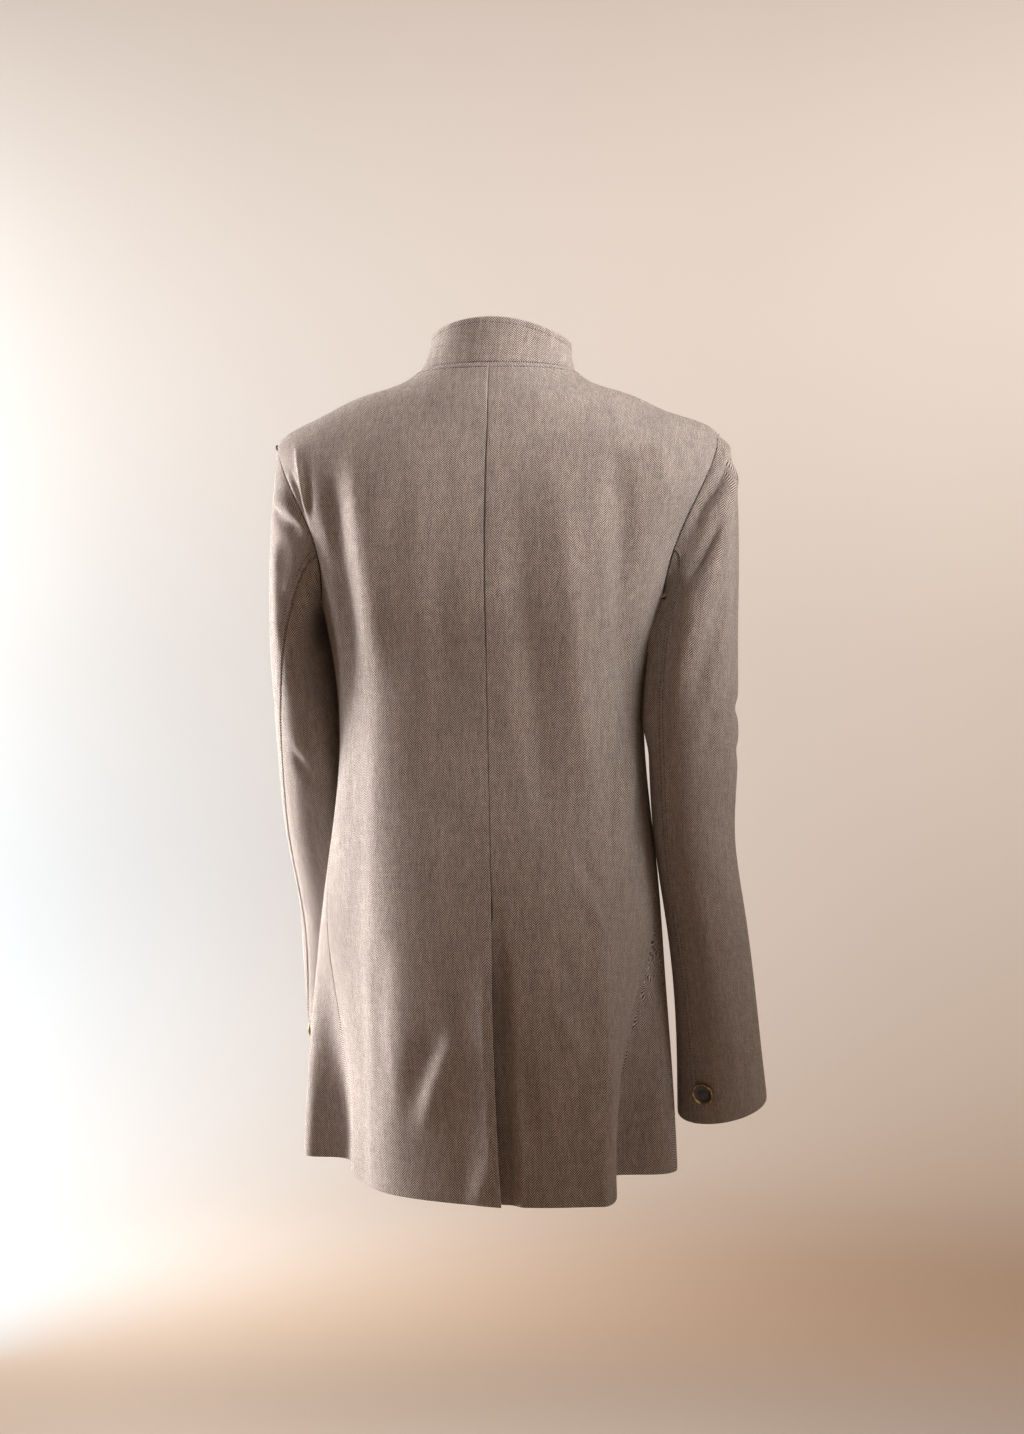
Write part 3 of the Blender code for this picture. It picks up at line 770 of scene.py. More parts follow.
def quad_mesh(name: str, points: Array, quads: Array) -> bpy.types.Mesh:
    """A mesh from points and quads, set as whole arrays.

    Args:
        name: the mesh's name.
        points: in any shape with a last axis of three.
        quads: the indices of each quad's four corners.

    Returns:
        The mesh.
    """
    points = points.reshape(-1, 3)
    mesh = bpy.data.meshes.new(name)
    mesh.vertices.add(len(points))
    mesh.vertices.foreach_set("co", points.astype(np.float32).ravel())
    mesh.loops.add(quads.size)
    mesh.loops.foreach_set("vertex_index", quads.astype(np.int32).ravel())
    mesh.polygons.add(len(quads))
    mesh.polygons.foreach_set("loop_start", np.arange(0, quads.size, 4, dtype=np.int32))
    mesh.update(calc_edges=True)
    mesh.validate()
    return mesh


def ring_quads(rings: int, around: int) -> Array:
    """The quads between rings of points that close on themselves.

    Args:
        rings: how many rings there are.
        around: how many points each has.

    Returns:
        The indices of each quad's corners.
    """
    index = np.arange(rings * around).reshape(rings, around)
    following = np.roll(index, -1, axis=1)
    return np.stack([index[:-1], index[1:], following[1:], following[:-1]], -1).reshape(-1, 4)


def cloth_mesh(name: str, sheet: Sheet) -> bpy.types.Mesh:
    """A closed wall from a sheet, with the cloth's coordinates as its UV map.

    Both faces are the grid's cells that have cloth. Wherever a cell's side has no neighbour, a
    quad joins the two faces.

    Args:
        name: the mesh's name.
        sheet: the finished sheet.

    Returns:
        The mesh, its faces outward.
    """
    rows, columns = sheet.across.shape
    shift = rows * columns
    index = np.arange(shift).reshape(rows, columns)
    corners = [index[:-1, :-1], index[:-1, 1:], index[1:, 1:], index[1:, :-1]]
    quads = np.stack(corners, -1)[sheet.cells]
    first = sheet.outer.reshape(-1, 3)[quads[0]]
    facing = np.cross(first[1] - first[0], first[3] - first[0])
    if facing @ sheet.normal.reshape(-1, 3)[quads[0, 0]] < 0:
        quads = quads[:, ::-1]
    sides = np.concatenate([quads[:, [k, (k + 1) % 4]] for k in range(4)])
    lone = ~np.isin(sides[:, 0] * shift + sides[:, 1], sides[:, 1] * shift + sides[:, 0])
    a, b = sides[lone, 0], sides[lone, 1]
    rim = np.stack([b, a, a + shift, b + shift], -1)
    used, faces = np.unique(
        np.concatenate([quads, quads[:, ::-1] + shift, rim]), return_inverse=True
    )
    faces = faces.reshape(-1, 4)
    points = np.concatenate([sheet.outer.reshape(-1, 3), sheet.inner.reshape(-1, 3)])[used]
    mesh = quad_mesh(name, points, faces)
    weave = np.stack([sheet.across.ravel(), sheet.down.ravel()], -1)[used % shift]
    layer = mesh.uv_layers.new(name="weave")
    layer.data.foreach_set("uv", weave[faces.ravel()].astype(np.float32).ravel())
    return mesh


def along_line(sheet: Sheet, edge: str, distance: float) -> tuple[Array, Array]:
    """The line on a sheet's outer face at one distance in from an edge.

    On each line of the grid that leaves the edge, the two points on either side of the distance
    are blended in proportion.

    Args:
        sheet: the sheet.
        edge: which edge.
        distance: metres in from it.

    Returns:
        (points, outward directions) along the edge.
    """
    grids = [sheet.from_edge[edge], sheet.outer, sheet.normal]
    if edge not in SIDEWAYS:
        grids = [grid.swapaxes(0, 1) for grid in grids]
    if edge in ("right", "bottom"):
        grids = [grid[:, ::-1] for grid in grids]
    away = grids[0]
    after = np.clip(np.sum(away < distance, axis=1), 1, away.shape[1] - 1)
    rows = np.arange(len(after))
    low, high = away[rows, after - 1], away[rows, after]
    share = np.clip((distance - low) / np.maximum(high - low, 1e-9), 0.0, 1.0)[:, None]
    points, normal = (
        grid[rows, after - 1] * (1 - share) + grid[rows, after] * share for grid in grids[1:]
    )
    return points, unit(normal)


@dataclass(frozen=True)
class Topstitch:
    """The coat's topstitching.

    Each stitch is a five-sided spindle. Its rings lie at shares of its length, with radii that
    swell and close and an arch that sinks its ends into the cloth, both as shares of the thread.
    """

    pitch: float = 3.1 * MM
    length: float = 2.5 * MM
    thread: float = 0.62 * MM
    sides: int = 5
    flatness: float = 0.8
    shares: tuple[float, ...] = (-0.5, -0.42, -0.2, 0.2, 0.42, 0.5)
    radii: tuple[float, ...] = (0.04, 0.31, 0.5, 0.5, 0.31, 0.04)
    arch: tuple[float, ...] = (-0.75, -0.25, 0.15, 0.15, -0.25, -0.75)

    def row(self, points: Array, normal: Array) -> tuple[Array, Array]:
        """A row of stitches along a line.

        Args:
            points: the line.
            normal: the outward direction along it.

        Returns:
            (points, quads).
        """
        far = walked(points)
        middles = np.arange(self.pitch, far[-1] - self.pitch, self.pitch)

        def read(values: Array, at: Array) -> Array:
            """The line's values at distances along it."""
            return np.stack([np.interp(at, far, values[:, i]) for i in range(3)], -1)

        half = self.length / 2
        along = unit(read(points, middles + half) - read(points, middles - half))[:, None]
        up = unit(read(normal, middles))[:, None]
        beside = np.cross(along, up)[:, None]
        turn = np.arange(self.sides) * FULL_TURN / self.sides
        radii = np.array(self.radii)[:, None, None] * self.thread
        centre = read(points, middles)[:, None] + along * self.size(self.shares, self.length)
        centre = centre + up * self.size(self.arch, self.thread)
        wide = beside * (radii * np.cos(turn)[:, None])
        high = up[:, None] * (radii * np.sin(turn)[:, None]) * self.flatness
        spindle = centre[:, :, None] + wide + high
        body = np.roll(ring_quads(len(self.shares), self.sides)[:, ::-1], 1, axis=1)
        starts = np.arange(len(middles)) * len(self.shares) * self.sides
        return spindle.reshape(-1, 3), (body + starts[:, None, None]).reshape(-1, 4)

    def size(self, shares: tuple[float, ...], whole: float) -> Array:
        """Shares of a size, one to a row."""
        return np.array(shares)[:, None] * whole

    def sew(
        self, name: str, lines: list[tuple[Array, Array]], thread: Material
    ) -> None:
        """Sews rows along lines and adds them as one piece.

        Args:
            name: the piece's name.
            lines: (points, outward directions) of each row.
            thread: the thread's material.
        """
        rows = [self.row(*line) for line in lines]
        starts = running(np.array([len(points) for points, _ in rows]))
        points = np.concatenate([points for points, _ in rows])
        quads = np.concatenate([quads + start for (_, quads), start in zip(rows, starts)])
        obj = add_piece(name, quad_mesh(name, points, quads), [thread])
        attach(obj, ROOT)


# ---------------------------------------------------------------- finishes


def shade(colour: Colour, amount: float) -> Colour:
    """A colour made lighter or darker, no part of it over one."""
    return tuple(min(1.0, amount * part) for part in colour)


class Nodes:
    """Builds one material's nodes."""

    def __init__(self, name: str) -> None:
        """Starts a material with its shader.

        Args:
            name: the material's name.
        """
        self.material = bpy.data.materials.new(name)
        self.material.use_nodes = True
        self.tree = self.material.node_tree
        self.shader = self.tree.nodes["Principled BSDF"]

    def put(self, socket: Socket, value: "Socket | float | tuple") -> None:
        """Links a socket to another, or sets its value.

        Args:
            socket: what is set.
            value: the socket or the constant that goes into it.
        """
        if isinstance(value, Socket):
            self.tree.links.new(value, socket)
        else:
            socket.default_value = value

    def node(
        self, kind: str, inputs: "dict[str | int, Socket | float]", **settings: str
    ) -> bpy.types.Node:
        """A new node.

        Args:
            kind: its type's name after ShaderNode.
            inputs: what goes into its sockets, by name or number.
            settings: its own settings.

        Returns:
            The node.
        """
        node = self.tree.nodes.new("ShaderNode" + kind)
        for name, setting in settings.items():
            setattr(node, name, setting)
        for socket, value in inputs.items():
            self.put(node.inputs[socket], value)
        return node

    def math(self, operation: str, *values: "Socket | float") -> Socket:
        """The result of a Math node."""
        return self.node("Math", dict(enumerate(values)), operation=operation).outputs[0]

    def times(self, first: "Socket | float", second: "Socket | float") -> Socket:
        """A product."""
        return self.math("MULTIPLY", first, second)

    def plus(self, first: "Socket | float", second: "Socket | float") -> Socket:
        """A sum."""
        return self.math("ADD", first, second)

    def noise(self, vector: Socket, scale: float, detail: float, roughness: float = 0.5) -> Socket:
        """A noise from 0 to 1, mostly near a half."""
        inputs = {"Vector": vector, "Scale": scale, "Detail": detail, "Roughness": roughness}
        return self.node("TexNoise", inputs).outputs["Fac"]

    def mottle(self, x: Socket, y: Socket, scale_x: float, scale_y: float, seed: float,
               detail: float) -> Socket:
        """A noise over two coordinates.

        Args:
            x: the first coordinate.
            y: the second.
            scale_x: how many turns the noise takes in a unit of x.
            scale_y: and in a unit of y.
            seed: the third coordinate.
            detail: its octaves.

        Returns:
            The noise, from 0 to 1.
        """
        inputs = {0: self.times(x, scale_x), 1: self.times(y, scale_y), 2: seed}
        return self.noise(self.node("CombineXYZ", inputs).outputs[0], 1.0, detail)

    def ranged(self, value: Socket, low: float, high: float, to_low: float = 0.0,
               to_high: float = 1.0) -> Socket:
        """A value carried from one range to another, smoothly and held at its ends."""
        inputs = dict(enumerate((value, low, high, to_low, to_high)))
        return self.node("MapRange", inputs, interpolation_type="SMOOTHSTEP").outputs[0]

    def mix(self, share: Socket, first: "Socket | Colour", second: "Socket | Colour") -> Socket:
        """Two colours blended.

        Args:
            share: of the second colour.
            first: the first colour.
            second: the second.

        Returns:
            The blend.
        """
        ends = [end if isinstance(end, Socket) else (*end, 1.0) for end in (first, second)]
        inputs = {"Factor": share, 6: ends[0], 7: ends[1]}
        return self.node("Mix", inputs, data_type="RGBA").outputs[2]

    def scaled(self, colour: Socket, amount: Socket) -> Socket:
        """A colour multiplied by a number."""
        return self.node("VectorMath", {0: colour, "Scale": amount}, operation="SCALE").outputs[0]

    def weave(self) -> tuple[Socket, Socket]:
        """The piece's own cloth coordinates, in metres."""
        place = self.node("UVMap", {}, uv_map="weave").outputs[0]
        return tuple(self.node("SeparateXYZ", {0: place}).outputs[:2])

    def place(self) -> Socket:
        """Object coordinates."""
        return self.node("TexCoord", {}).outputs["Object"]

    def bump(self, height: Socket, distance: float) -> None:
        """Gives the shader relief from a height."""
        inputs = {"Strength": 1.0, "Distance": distance, "Height": height}
        self.put(self.shader.inputs["Normal"], self.node("Bump", inputs).outputs[0])

    def settle(self, **sockets: "Socket | float | tuple") -> Material:
        """Sets the shader's own sockets, an underscore for each space in a name.

        Args:
            sockets: the value of each by its name.

        Returns:
            The finished material.
        """
        for name, value in sockets.items():
            self.put(self.shader.inputs[name.replace("_", " ")], value)
        return self.material


@dataclass(frozen=True)
class HerringboneWool:
    """A two-and-two herringbone of light warp and dark weft, with slubs, fuzz and a soft sheen.

    light_slubs and dark_slubs hold the noise of the yarns: its scale from yarn to yarn, its scale
    along a yarn, its seed and its octaves. Each row of unevenness is a noise over the cloth, as
    Nodes.mottle takes it, and how far it moves the tone.
    """

    name: str
    light: Colour = (0.715, 0.645, 0.595)
    dark: Colour = (0.024, 0.026, 0.034)
    slub: Colour = (0.022, 0.025, 0.037)
    light_range: tuple[float, float] = (0.70, 1.22)
    dark_most: float = 1.9
    yarn_across: float = 0.535 * MM
    yarn_down: float = 0.545 * MM
    stripe: float = 9.0
    repeat: float = 4.0
    wander: float = 0.9
    wander_scale: float = 90.0
    light_slubs: tuple[float, ...] = (3.71, 95.0, 1.0, 3.0)
    dark_slubs: tuple[float, ...] = (70.0, 3.71, 8.0, 3.0)
    unevenness: tuple[tuple[float, ...], ...] = (
        (42.0, 330.0, 3.0, 3.0, 0.06),
        (150.0, 11.0, 6.0, 3.0, 0.07),
        (36.0, 14.0, 9.0, 2.0, 0.05),
    )
    streaks: float = 1.0
    # painted shade in the gaps between yarns and painted light on their crowns, as factors on the
    # colour
    painted_gap_shade: float = 0.52
    painted_crown_light: float = 0.52
    fuzz_scale: float = 2600.0
    relief: float = 0.16 * MM
    sheen: Colour = (0.93, 0.87, 0.80)

    def material(self) -> Material:
        """Builds the material.

        Warp i and weft j cross at each cell of the cloth's coordinates. The warp lies on top where
        (fold(i) + j + 2 * stripe number) modulo 4 is under 2, where fold runs up and down again
        over one stripe's warps, so the twill turns at each stripe and breaks there. The yarn on
        top is a dome, the root of a half sine across it. The colour is multiplied by the dome: a
        painted shade in the gaps beside each yarn and a painted light on its crown.

        Returns:
            The material.
        """
        n = Nodes(self.name)
        across, down = n.weave()
        wander = n.mottle(across, down, self.wander_scale, self.wander_scale, 0.0, 2.0)
        wander = n.times(n.math("SUBTRACT", wander, 0.5), self.wander)
        warp = n.plus(n.math("DIVIDE", across, self.yarn_across), wander)
        weft = n.plus(n.math("DIVIDE", down, self.yarn_down), wander)
        i, j = n.math("FLOOR", warp), n.math("FLOOR", weft)
        middle = n.plus(i, 0.5)
        number = n.math("FLOOR", n.math("DIVIDE", middle, self.stripe))
        beat = n.plus(n.plus(n.math("PINGPONG", middle, self.stripe), j), n.times(number, 2.0))
        on_top = n.math("LESS_THAN", n.math("WRAP", beat, self.repeat, 0.0), self.repeat / 2)
        over, under = (
            n.math("SINE", n.times(n.math("FRACT", yarn), math.pi)) for yarn in (warp, weft)
        )
        dome = n.plus(n.times(over, on_top), n.times(under, n.math("SUBTRACT", 1.0, on_top)))
        dome = n.math("POWER", n.math("MAXIMUM", dome, 0.0), 0.5)
        light_slub = n.ranged(n.mottle(i, down, *self.light_slubs), 0.28, 0.72)
        dark_slub = n.ranged(n.mottle(across, j, *self.dark_slubs), 0.30, 0.70)
        light = n.mix(light_slub, *(shade(self.light, amount) for amount in self.light_range))
        dark = n.mix(dark_slub, self.slub, shade(self.dark, self.dark_most))
        thick, long, cloud = (
            n.ranged(n.mottle(across, down, *noise), 0.25, 0.75, -swing, swing)
            for *noise, swing in self.unevenness
        )
        tone = n.times(n.plus(n.plus(thick, long), cloud), self.streaks)
        # painted shade and light: the colour is darkened in the gaps between yarns and lightened on
        # each yarn's crown
        gaps = n.plus(n.times(dome, self.painted_crown_light), self.painted_gap_shade)
        fuzz = n.mottle(across, down, self.fuzz_scale, self.fuzz_scale, 0.0, 2.0)
        n.bump(n.plus(dome, n.times(fuzz, 0.5)), self.relief)
        return n.settle(
            Base_Color=n.scaled(n.mix(on_top, dark, light), n.times(gaps, n.plus(tone, 1.0))),
            Roughness=n.ranged(fuzz, 0.2, 0.8, 0.84, 0.97), Specular_IOR_Level=0.22,
            Sheen_Weight=0.22, Sheen_Roughness=0.45, Sheen_Tint=(*self.sheen, 1.0),
        )


@dataclass(frozen=True)
class Thread:
    """Matt sewing thread, its plies wound round it."""

    name: str = "sewing_thread"
    colour: Colour = (0.060, 0.052, 0.050)
    scale: float = 3200.0
    relief: float = 0.06 * MM

    def material(self) -> Material:
        """A dark colour broken by a fine noise, with a little relief.

        Returns:
            The material.
        """
        n = Nodes(self.name)
        plies = n.noise(n.place(), self.scale, 2.0)
        n.bump(plies, self.relief)
        colour = n.mix(plies, shade(self.colour, 0.6), shade(self.colour, 1.6))
        return n.settle(Base_Color=colour, Roughness=0.78, Specular_IOR_Level=0.3, Sheen_Weight=0.2)


@dataclass(frozen=True)
class AgedBronze:
    """The button's rim: bronze, brighter where it is rubbed and brown in its scratches."""

    name: str = "aged_bronze"
    bright: Colour = (0.34, 0.23, 0.12)
    brown: Colour = (0.090, 0.050, 0.028)
    patina: tuple[float, ...] = (420.0, 4.0, 0.65)
    scratches: tuple[float, ...] = (2400.0, 3.0)
    relief: float = 0.03 * MM

    def material(self) -> Material:
        """Patina by a coarse noise, roughness by a fine one.

        Returns:
            The material.
        """
        n = Nodes(self.name)
        patina = n.ranged(n.noise(n.place(), *self.patina), 0.36, 0.64)
        fine = n.noise(n.place(), *self.scratches)
        n.bump(fine, self.relief)
        return n.settle(Base_Color=n.mix(patina, self.brown, self.bright), Metallic=1.0,
                        Roughness=n.ranged(fine, 0.25, 0.75, 0.26, 0.46))


@dataclass(frozen=True)
class DarkHorn:
    """The button's dished face: near-black horn with a brown grain."""

    name: str = "dark_horn"
    black: Colour = (0.010, 0.007, 0.006)
    brown: Colour = (0.050, 0.026, 0.015)
    streaks: tuple[float, ...] = (260.0, 5.0, 0.6)
    polish: tuple[float, ...] = (2000.0, 2.0)
    relief: float = 0.10 * MM

    def material(self) -> Material:
        """Brown streaks in black, polished.

        Returns:
            The material.
        """
        n = Nodes(self.name)
        streaks = n.noise(n.place(), *self.streaks)
        fine = n.noise(n.place(), *self.polish)
        n.bump(streaks, self.relief)
        return n.settle(Base_Color=n.mix(n.ranged(streaks, 0.42, 0.68), self.black, self.brown),
                        Roughness=n.ranged(fine, 0.25, 0.75, 0.30, 0.48), Specular_IOR_Level=0.5)


@dataclass(frozen=True)
class StudioPaint:
    """The plain pale floor and its sweep."""

    name: str = "studio_paint"
    colour: Colour = (0.80, 0.76, 0.72)

    def material(self) -> Material:
        """A matt cream with hardly any variation.

        Returns:
            The material.
        """
        n = Nodes(self.name)
        cloud = n.noise(n.place(), 1.1, 2.0)
        colour = n.mix(cloud, shade(self.colour, 0.97), shade(self.colour, 1.03))
        return n.settle(Base_Color=colour, Roughness=0.95, Specular_IOR_Level=0.1)


@dataclass(frozen=True)
class Wardrobe:
    """The materials that the pieces share."""

    cloth: dict[Slot, Material]
    thread: Material
    bronze: Material
    horn: Material


# ---------------------------------------------------------------- pieces

SEWING = Topstitch()
SEAM = Edge()
TURNED = Edge(turned=TURNED_HEM)
NECK = Edge(stitched=5.6 * MM, raised=0.20 * MM)
FREE_FRONT = Edge(stitched=NECK.stitched, raised=NECK.raised, turned=TURNED_HEM)
STRIP = Edge(stitched=6.0 * MM, raised=0.45 * MM)
STRIP_EDGE_STITCH = 1.3 * MM


@dataclass(frozen=True)
class CutPiece:
    """What every cut piece of cloth has: its names, its flat size, its area and its creases."""

    name: str
    node: str
    flat: tuple[float, float]
    area: float
    creases: tuple[Crease, ...]

    def slot(self) -> Slot:
        """The material slot of its cloth."""
        return Slot.WOOL

    def sheet(self) -> Sheet:
        """The finished sheet; each kind of piece makes its own."""
        raise NotImplementedError

    def stitching(self) -> list[tuple[str, float]]:
        """The (edge, distance in from it) of each row of its topstitching."""
        return []

    def build(self, dress: Wardrobe) -> Sheet:
        """Adds the piece and its topstitching, and hides its solid.

        Args:
            dress: the materials.

        Returns:
            Its sheet, for what is sewn to it.
        """
        sheet = self.sheet()
        obj = add_piece(self.name, cloth_mesh(self.name, sheet), [dress.cloth[self.slot()]])
        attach(obj, ROOT)
        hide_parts(self.node)
        lines = [along_line(sheet, edge, distance) for edge, distance in self.stitching()]
        if lines:
            SEWING.sew(self.name + "_topstitch", lines, dress.thread)
        LOG.info("%s: %d polygons", self.name, len(obj.data.polygons))
        return sheet


@dataclass(frozen=True)
class BodyPanel(CutPiece):
    """One of the four panels, from a centre line to the armhole and the side seam."""

    side: Side
    face: Face
    lap: float = 0.0
    lap_under: bool = False
    vented: bool = False
    lap_depth: float = 3.0 * MM
    lap_ease: float = 0.020
    lap_margin: float = 0.005
    front_lap: float = 0.022
    vent_top: float = -0.500
    vent_rise: float = 0.045
    vent_depth: float = 9.0 * MM
    vent_deepens: float = 0.10
    vent_lift: float = 4.5 * MM
    vent_opens: float = 0.09
    vent_reach: float = 0.032
    shoulder_rows: int = 46
    armhole_rows: int = 64
    skirt_rows: int = 176
    search_steps: int = 4000
    columns: int = 62
    lap_columns: int = 8
    usual_width: float = 0.16
    edge_ease: float = 0.8
    edge_from: float = 0.55
    warp_fall: float = 0.3

    def start(self) -> float:
        """The angle of the panel's centre line."""
        return 180.0 if self.face is Face.FRONT else 0.0

    def rows(self) -> Array:
        """The grid's rows, in step with the sleeve's columns round the armhole, and with one row
        just at the head of the vent.

        Returns:
            t of each row.
        """
        tip, armpit, hem = (BODY.ring_t(ring) for ring in ("tip", "armpit", "hem"))
        shoulder = crowded(self.shoulder_rows, tip, end=False) * tip
        share = np.linspace(0.0, 0.5, self.armhole_rows + 1)
        skirt = armpit + (hem - armpit) * crowded(self.skirt_rows, hem - armpit, start=False)
        hole = BODY.armhole_place(self.side, share)[1]
        t = np.concatenate([shoulder[:-1], hole[:-1], skirt])
        nearest = np.argmin(np.abs(BODY.value("back_z", t) - self.vent_top))
        fine = np.linspace(armpit, hem, self.search_steps)
        t[nearest] = np.interp(-self.vent_top, -BODY.value("back_z", fine), fine)
        return t

    def edge_angle(self, t: Array) -> Array:
        """The panel's outer edge: the shoulder line, then the armhole, then the side seam.

        Args:
            t: of each row.

        Returns:
            The edge's angle in each row.
        """
        tip, armpit = BODY.ring_t("tip"), BODY.ring_t("armpit")
        down = np.clip((t - tip) / (armpit - tip), 0.0, 1.0)
        share = np.arccos(1.0 - 2.0 * down) / FULL_TURN
        share = share if self.face is Face.BACK else 1.0 - share
        place, _ = BODY.armhole_place(self.side, share)
        seam = np.minimum(BODY.value("seam", t), 90.0)
        return np.where(t <= tip, 90.0, np.where(t < armpit, place, seam))

    def grid(self) -> tuple[Array, Array]:
        """The panel's grid, its lap columns first.

        The columns spread from the centre line to an edge that is eased over edge_ease metres of
        rows, so that they run smoothly. Beyond edge_from they turn to the true edge.

        Returns:
            (angle, t).
        """
        t = self.rows()
        start = self.start()
        across = crowded(self.columns, self.usual_width)
        edge = self.edge_angle(t)
        near = np.exp(-(((t[:, None] - t) / self.edge_ease) ** 2))
        eased = ((near * edge).sum(1) / near.sum(1))[:, None]
        true = smooth_step((across - self.edge_from) / (1.0 - self.edge_from))
        angle = start + (eased + (edge[:, None] - eased) * true - start) * across
        if self.lap:
            reach = np.degrees(self.lap / BODY.value("half_width", t))[:, None]
            beyond = crowded(self.lap_columns, self.lap, end=False)[:-1]
            way = 1.0 if self.face is Face.FRONT else -1.0
            angle = np.concatenate([start + way * reach * (1.0 - beyond), angle], axis=1)
        return angle, np.repeat(t[:, None], angle.shape[1], axis=1)

    def sink(self, angle: Array, t: Array) -> Array:
        """How far the surface goes down where it laps under its neighbour's edge.

        The depth eases in over lap_ease from the neighbour's edge. Under the vent it starts at the
        vent's head and deepens below. The edge that covers the vent stands off it instead, more
        and more below the head.

        Args:
            angle: of each point.
            t: of each point.

        Returns:
            The depth in metres, less than nought where it stands off.
        """
        if self.face is Face.FRONT and not self.lap_under:
            return np.zeros_like(t)
        inside = np.radians((angle - self.start()) * self.into())
        from_centre = inside * BODY.value("half_width", t)
        below = self.vent_top - BODY.value("back_z", t)
        if not self.lap_under:
            near = smooth_step(1.0 - from_centre / self.vent_reach)
            return -self.vent_lift * smooth_step(below / self.vent_opens) * near
        edge = self.front_lap if self.face is Face.FRONT else 0.0
        ease = self.lap_ease - self.lap_margin
        across = smooth_step((edge + self.lap_ease - from_centre) / ease)
        if not self.vented:
            return self.lap_depth * across
        deeper = (self.vent_depth - self.lap_depth) * smooth_step(below / self.vent_deepens)
        return (self.lap_depth * smooth_step(1.0 + below / self.vent_rise) + deeper) * across

    def into(self) -> float:
        """The sign of the angle's change from the centre line into the panel."""
        return -1.0 if self.face is Face.FRONT else 1.0

    def warp(self, normal: Array) -> Array:
        """The warp's direction: down the surface without leaning aside, and where the surface faces
        sideways, simply down.

        Args:
            normal: the outward direction at each point.

        Returns:
            The direction at each point.
        """
        flat = np.zeros_like(normal)
        flat[..., 1] = self.into() * normal[..., 2]
        flat[..., 2] = -self.into() * normal[..., 1]
        fall = np.zeros_like(normal)
        fall[..., 2] = -1.0
        return unit(flat + self.warp_fall * (fall - normal * dot(fall, normal)))

    def sheet(self) -> Sheet:
        """The finished sheet, with no cloth beyond the centre line above the vent.

        Returns:
            The sheet.
        """
        angle, t = self.grid()
        points = BODY.point(self.side, angle, t)
        normal = grid_normals(points)
        points = points - normal * self.sink(angle, t)[..., None]
        edges = {"left": TURNED if self.lap else SEAM, "right": SEAM, "top": NECK, "bottom": TURNED}
        if self.stitches_front():
            edges["left"] = FREE_FRONT
        lap = angle.shape[1] - len(crowded(self.columns, self.usual_width))
        cells = np.ones((angle.shape[0] - 1, angle.shape[1] - 1), bool)
        left_from = np.zeros(len(angle), int)
        if self.vented:
            above = BODY.value("back_z", t[:, 0]) > self.vent_top + 1e-6
            cells[:, :lap] = ~above[:-1, None]
            left_from[above] = lap
        return finish_sheet(points, self.warp(normal), (lap, None), CLOTH, edges, self.creases,
                            left_from, cells)

    def stitches_front(self) -> bool:
        """Whether its free edge is the stitched one that carries the buttons."""
        return self.face is Face.FRONT and not self.lap_under

    def stitching(self) -> list[tuple[str, float]]:
        """One row along the neck, and one down the free front edge."""
        front = [("left", NECK.stitched)] if self.stitches_front() else []
        return [("top", NECK.stitched), *front]


@dataclass(frozen=True)
class SleevePiece(CutPiece):
    """One cut piece of a two-piece sleeve, between two shares of the way round it."""

    form: SleeveForm
    first: float
    last: float
    grain_at: float
    upper: bool
    cap_rows: int = 58
    cap_length: float = 0.20
    arm_rows: int = 126
    arm_length: float = 0.42
    columns: int = 44
    widths: tuple[float, float] = (0.19, 0.11)

    def sheet(self) -> Sheet:
        """The finished sheet of this piece.

        Returns:
            The sheet.
        """
        top = self.form.cap_share
        cap = crowded(self.cap_rows, self.cap_length, end=False) * top
        arm = top + (1 - top) * crowded(self.arm_rows, self.arm_length, start=False)
        columns = crowded(self.columns, self.widths[0 if self.upper else 1])
        share = self.first + (self.last - self.first) * columns
        share, v = np.meshgrid(share, np.concatenate([cap[:-1], arm]))
        start = int(np.argmin(np.abs(share[0] - self.grain_at)))
        ring = int(np.argmin(np.abs(v[:, 0] - top)))
        back = STRIP if self.upper else SEAM
        edges = {"left": SEAM, "right": back, "top": SEAM, "bottom": TURNED}
        return finish_sheet(self.form.point(share, v), self.form.down(v), (start, ring), CLOTH,
                            edges, self.creases)

    def stitching(self) -> list[tuple[str, float]]:
        """Two rows beside the upper piece's back seam."""
        places = (STRIP.stitched, STRIP_EDGE_STITCH) if self.upper else ()
        return [("right", place) for place in places]


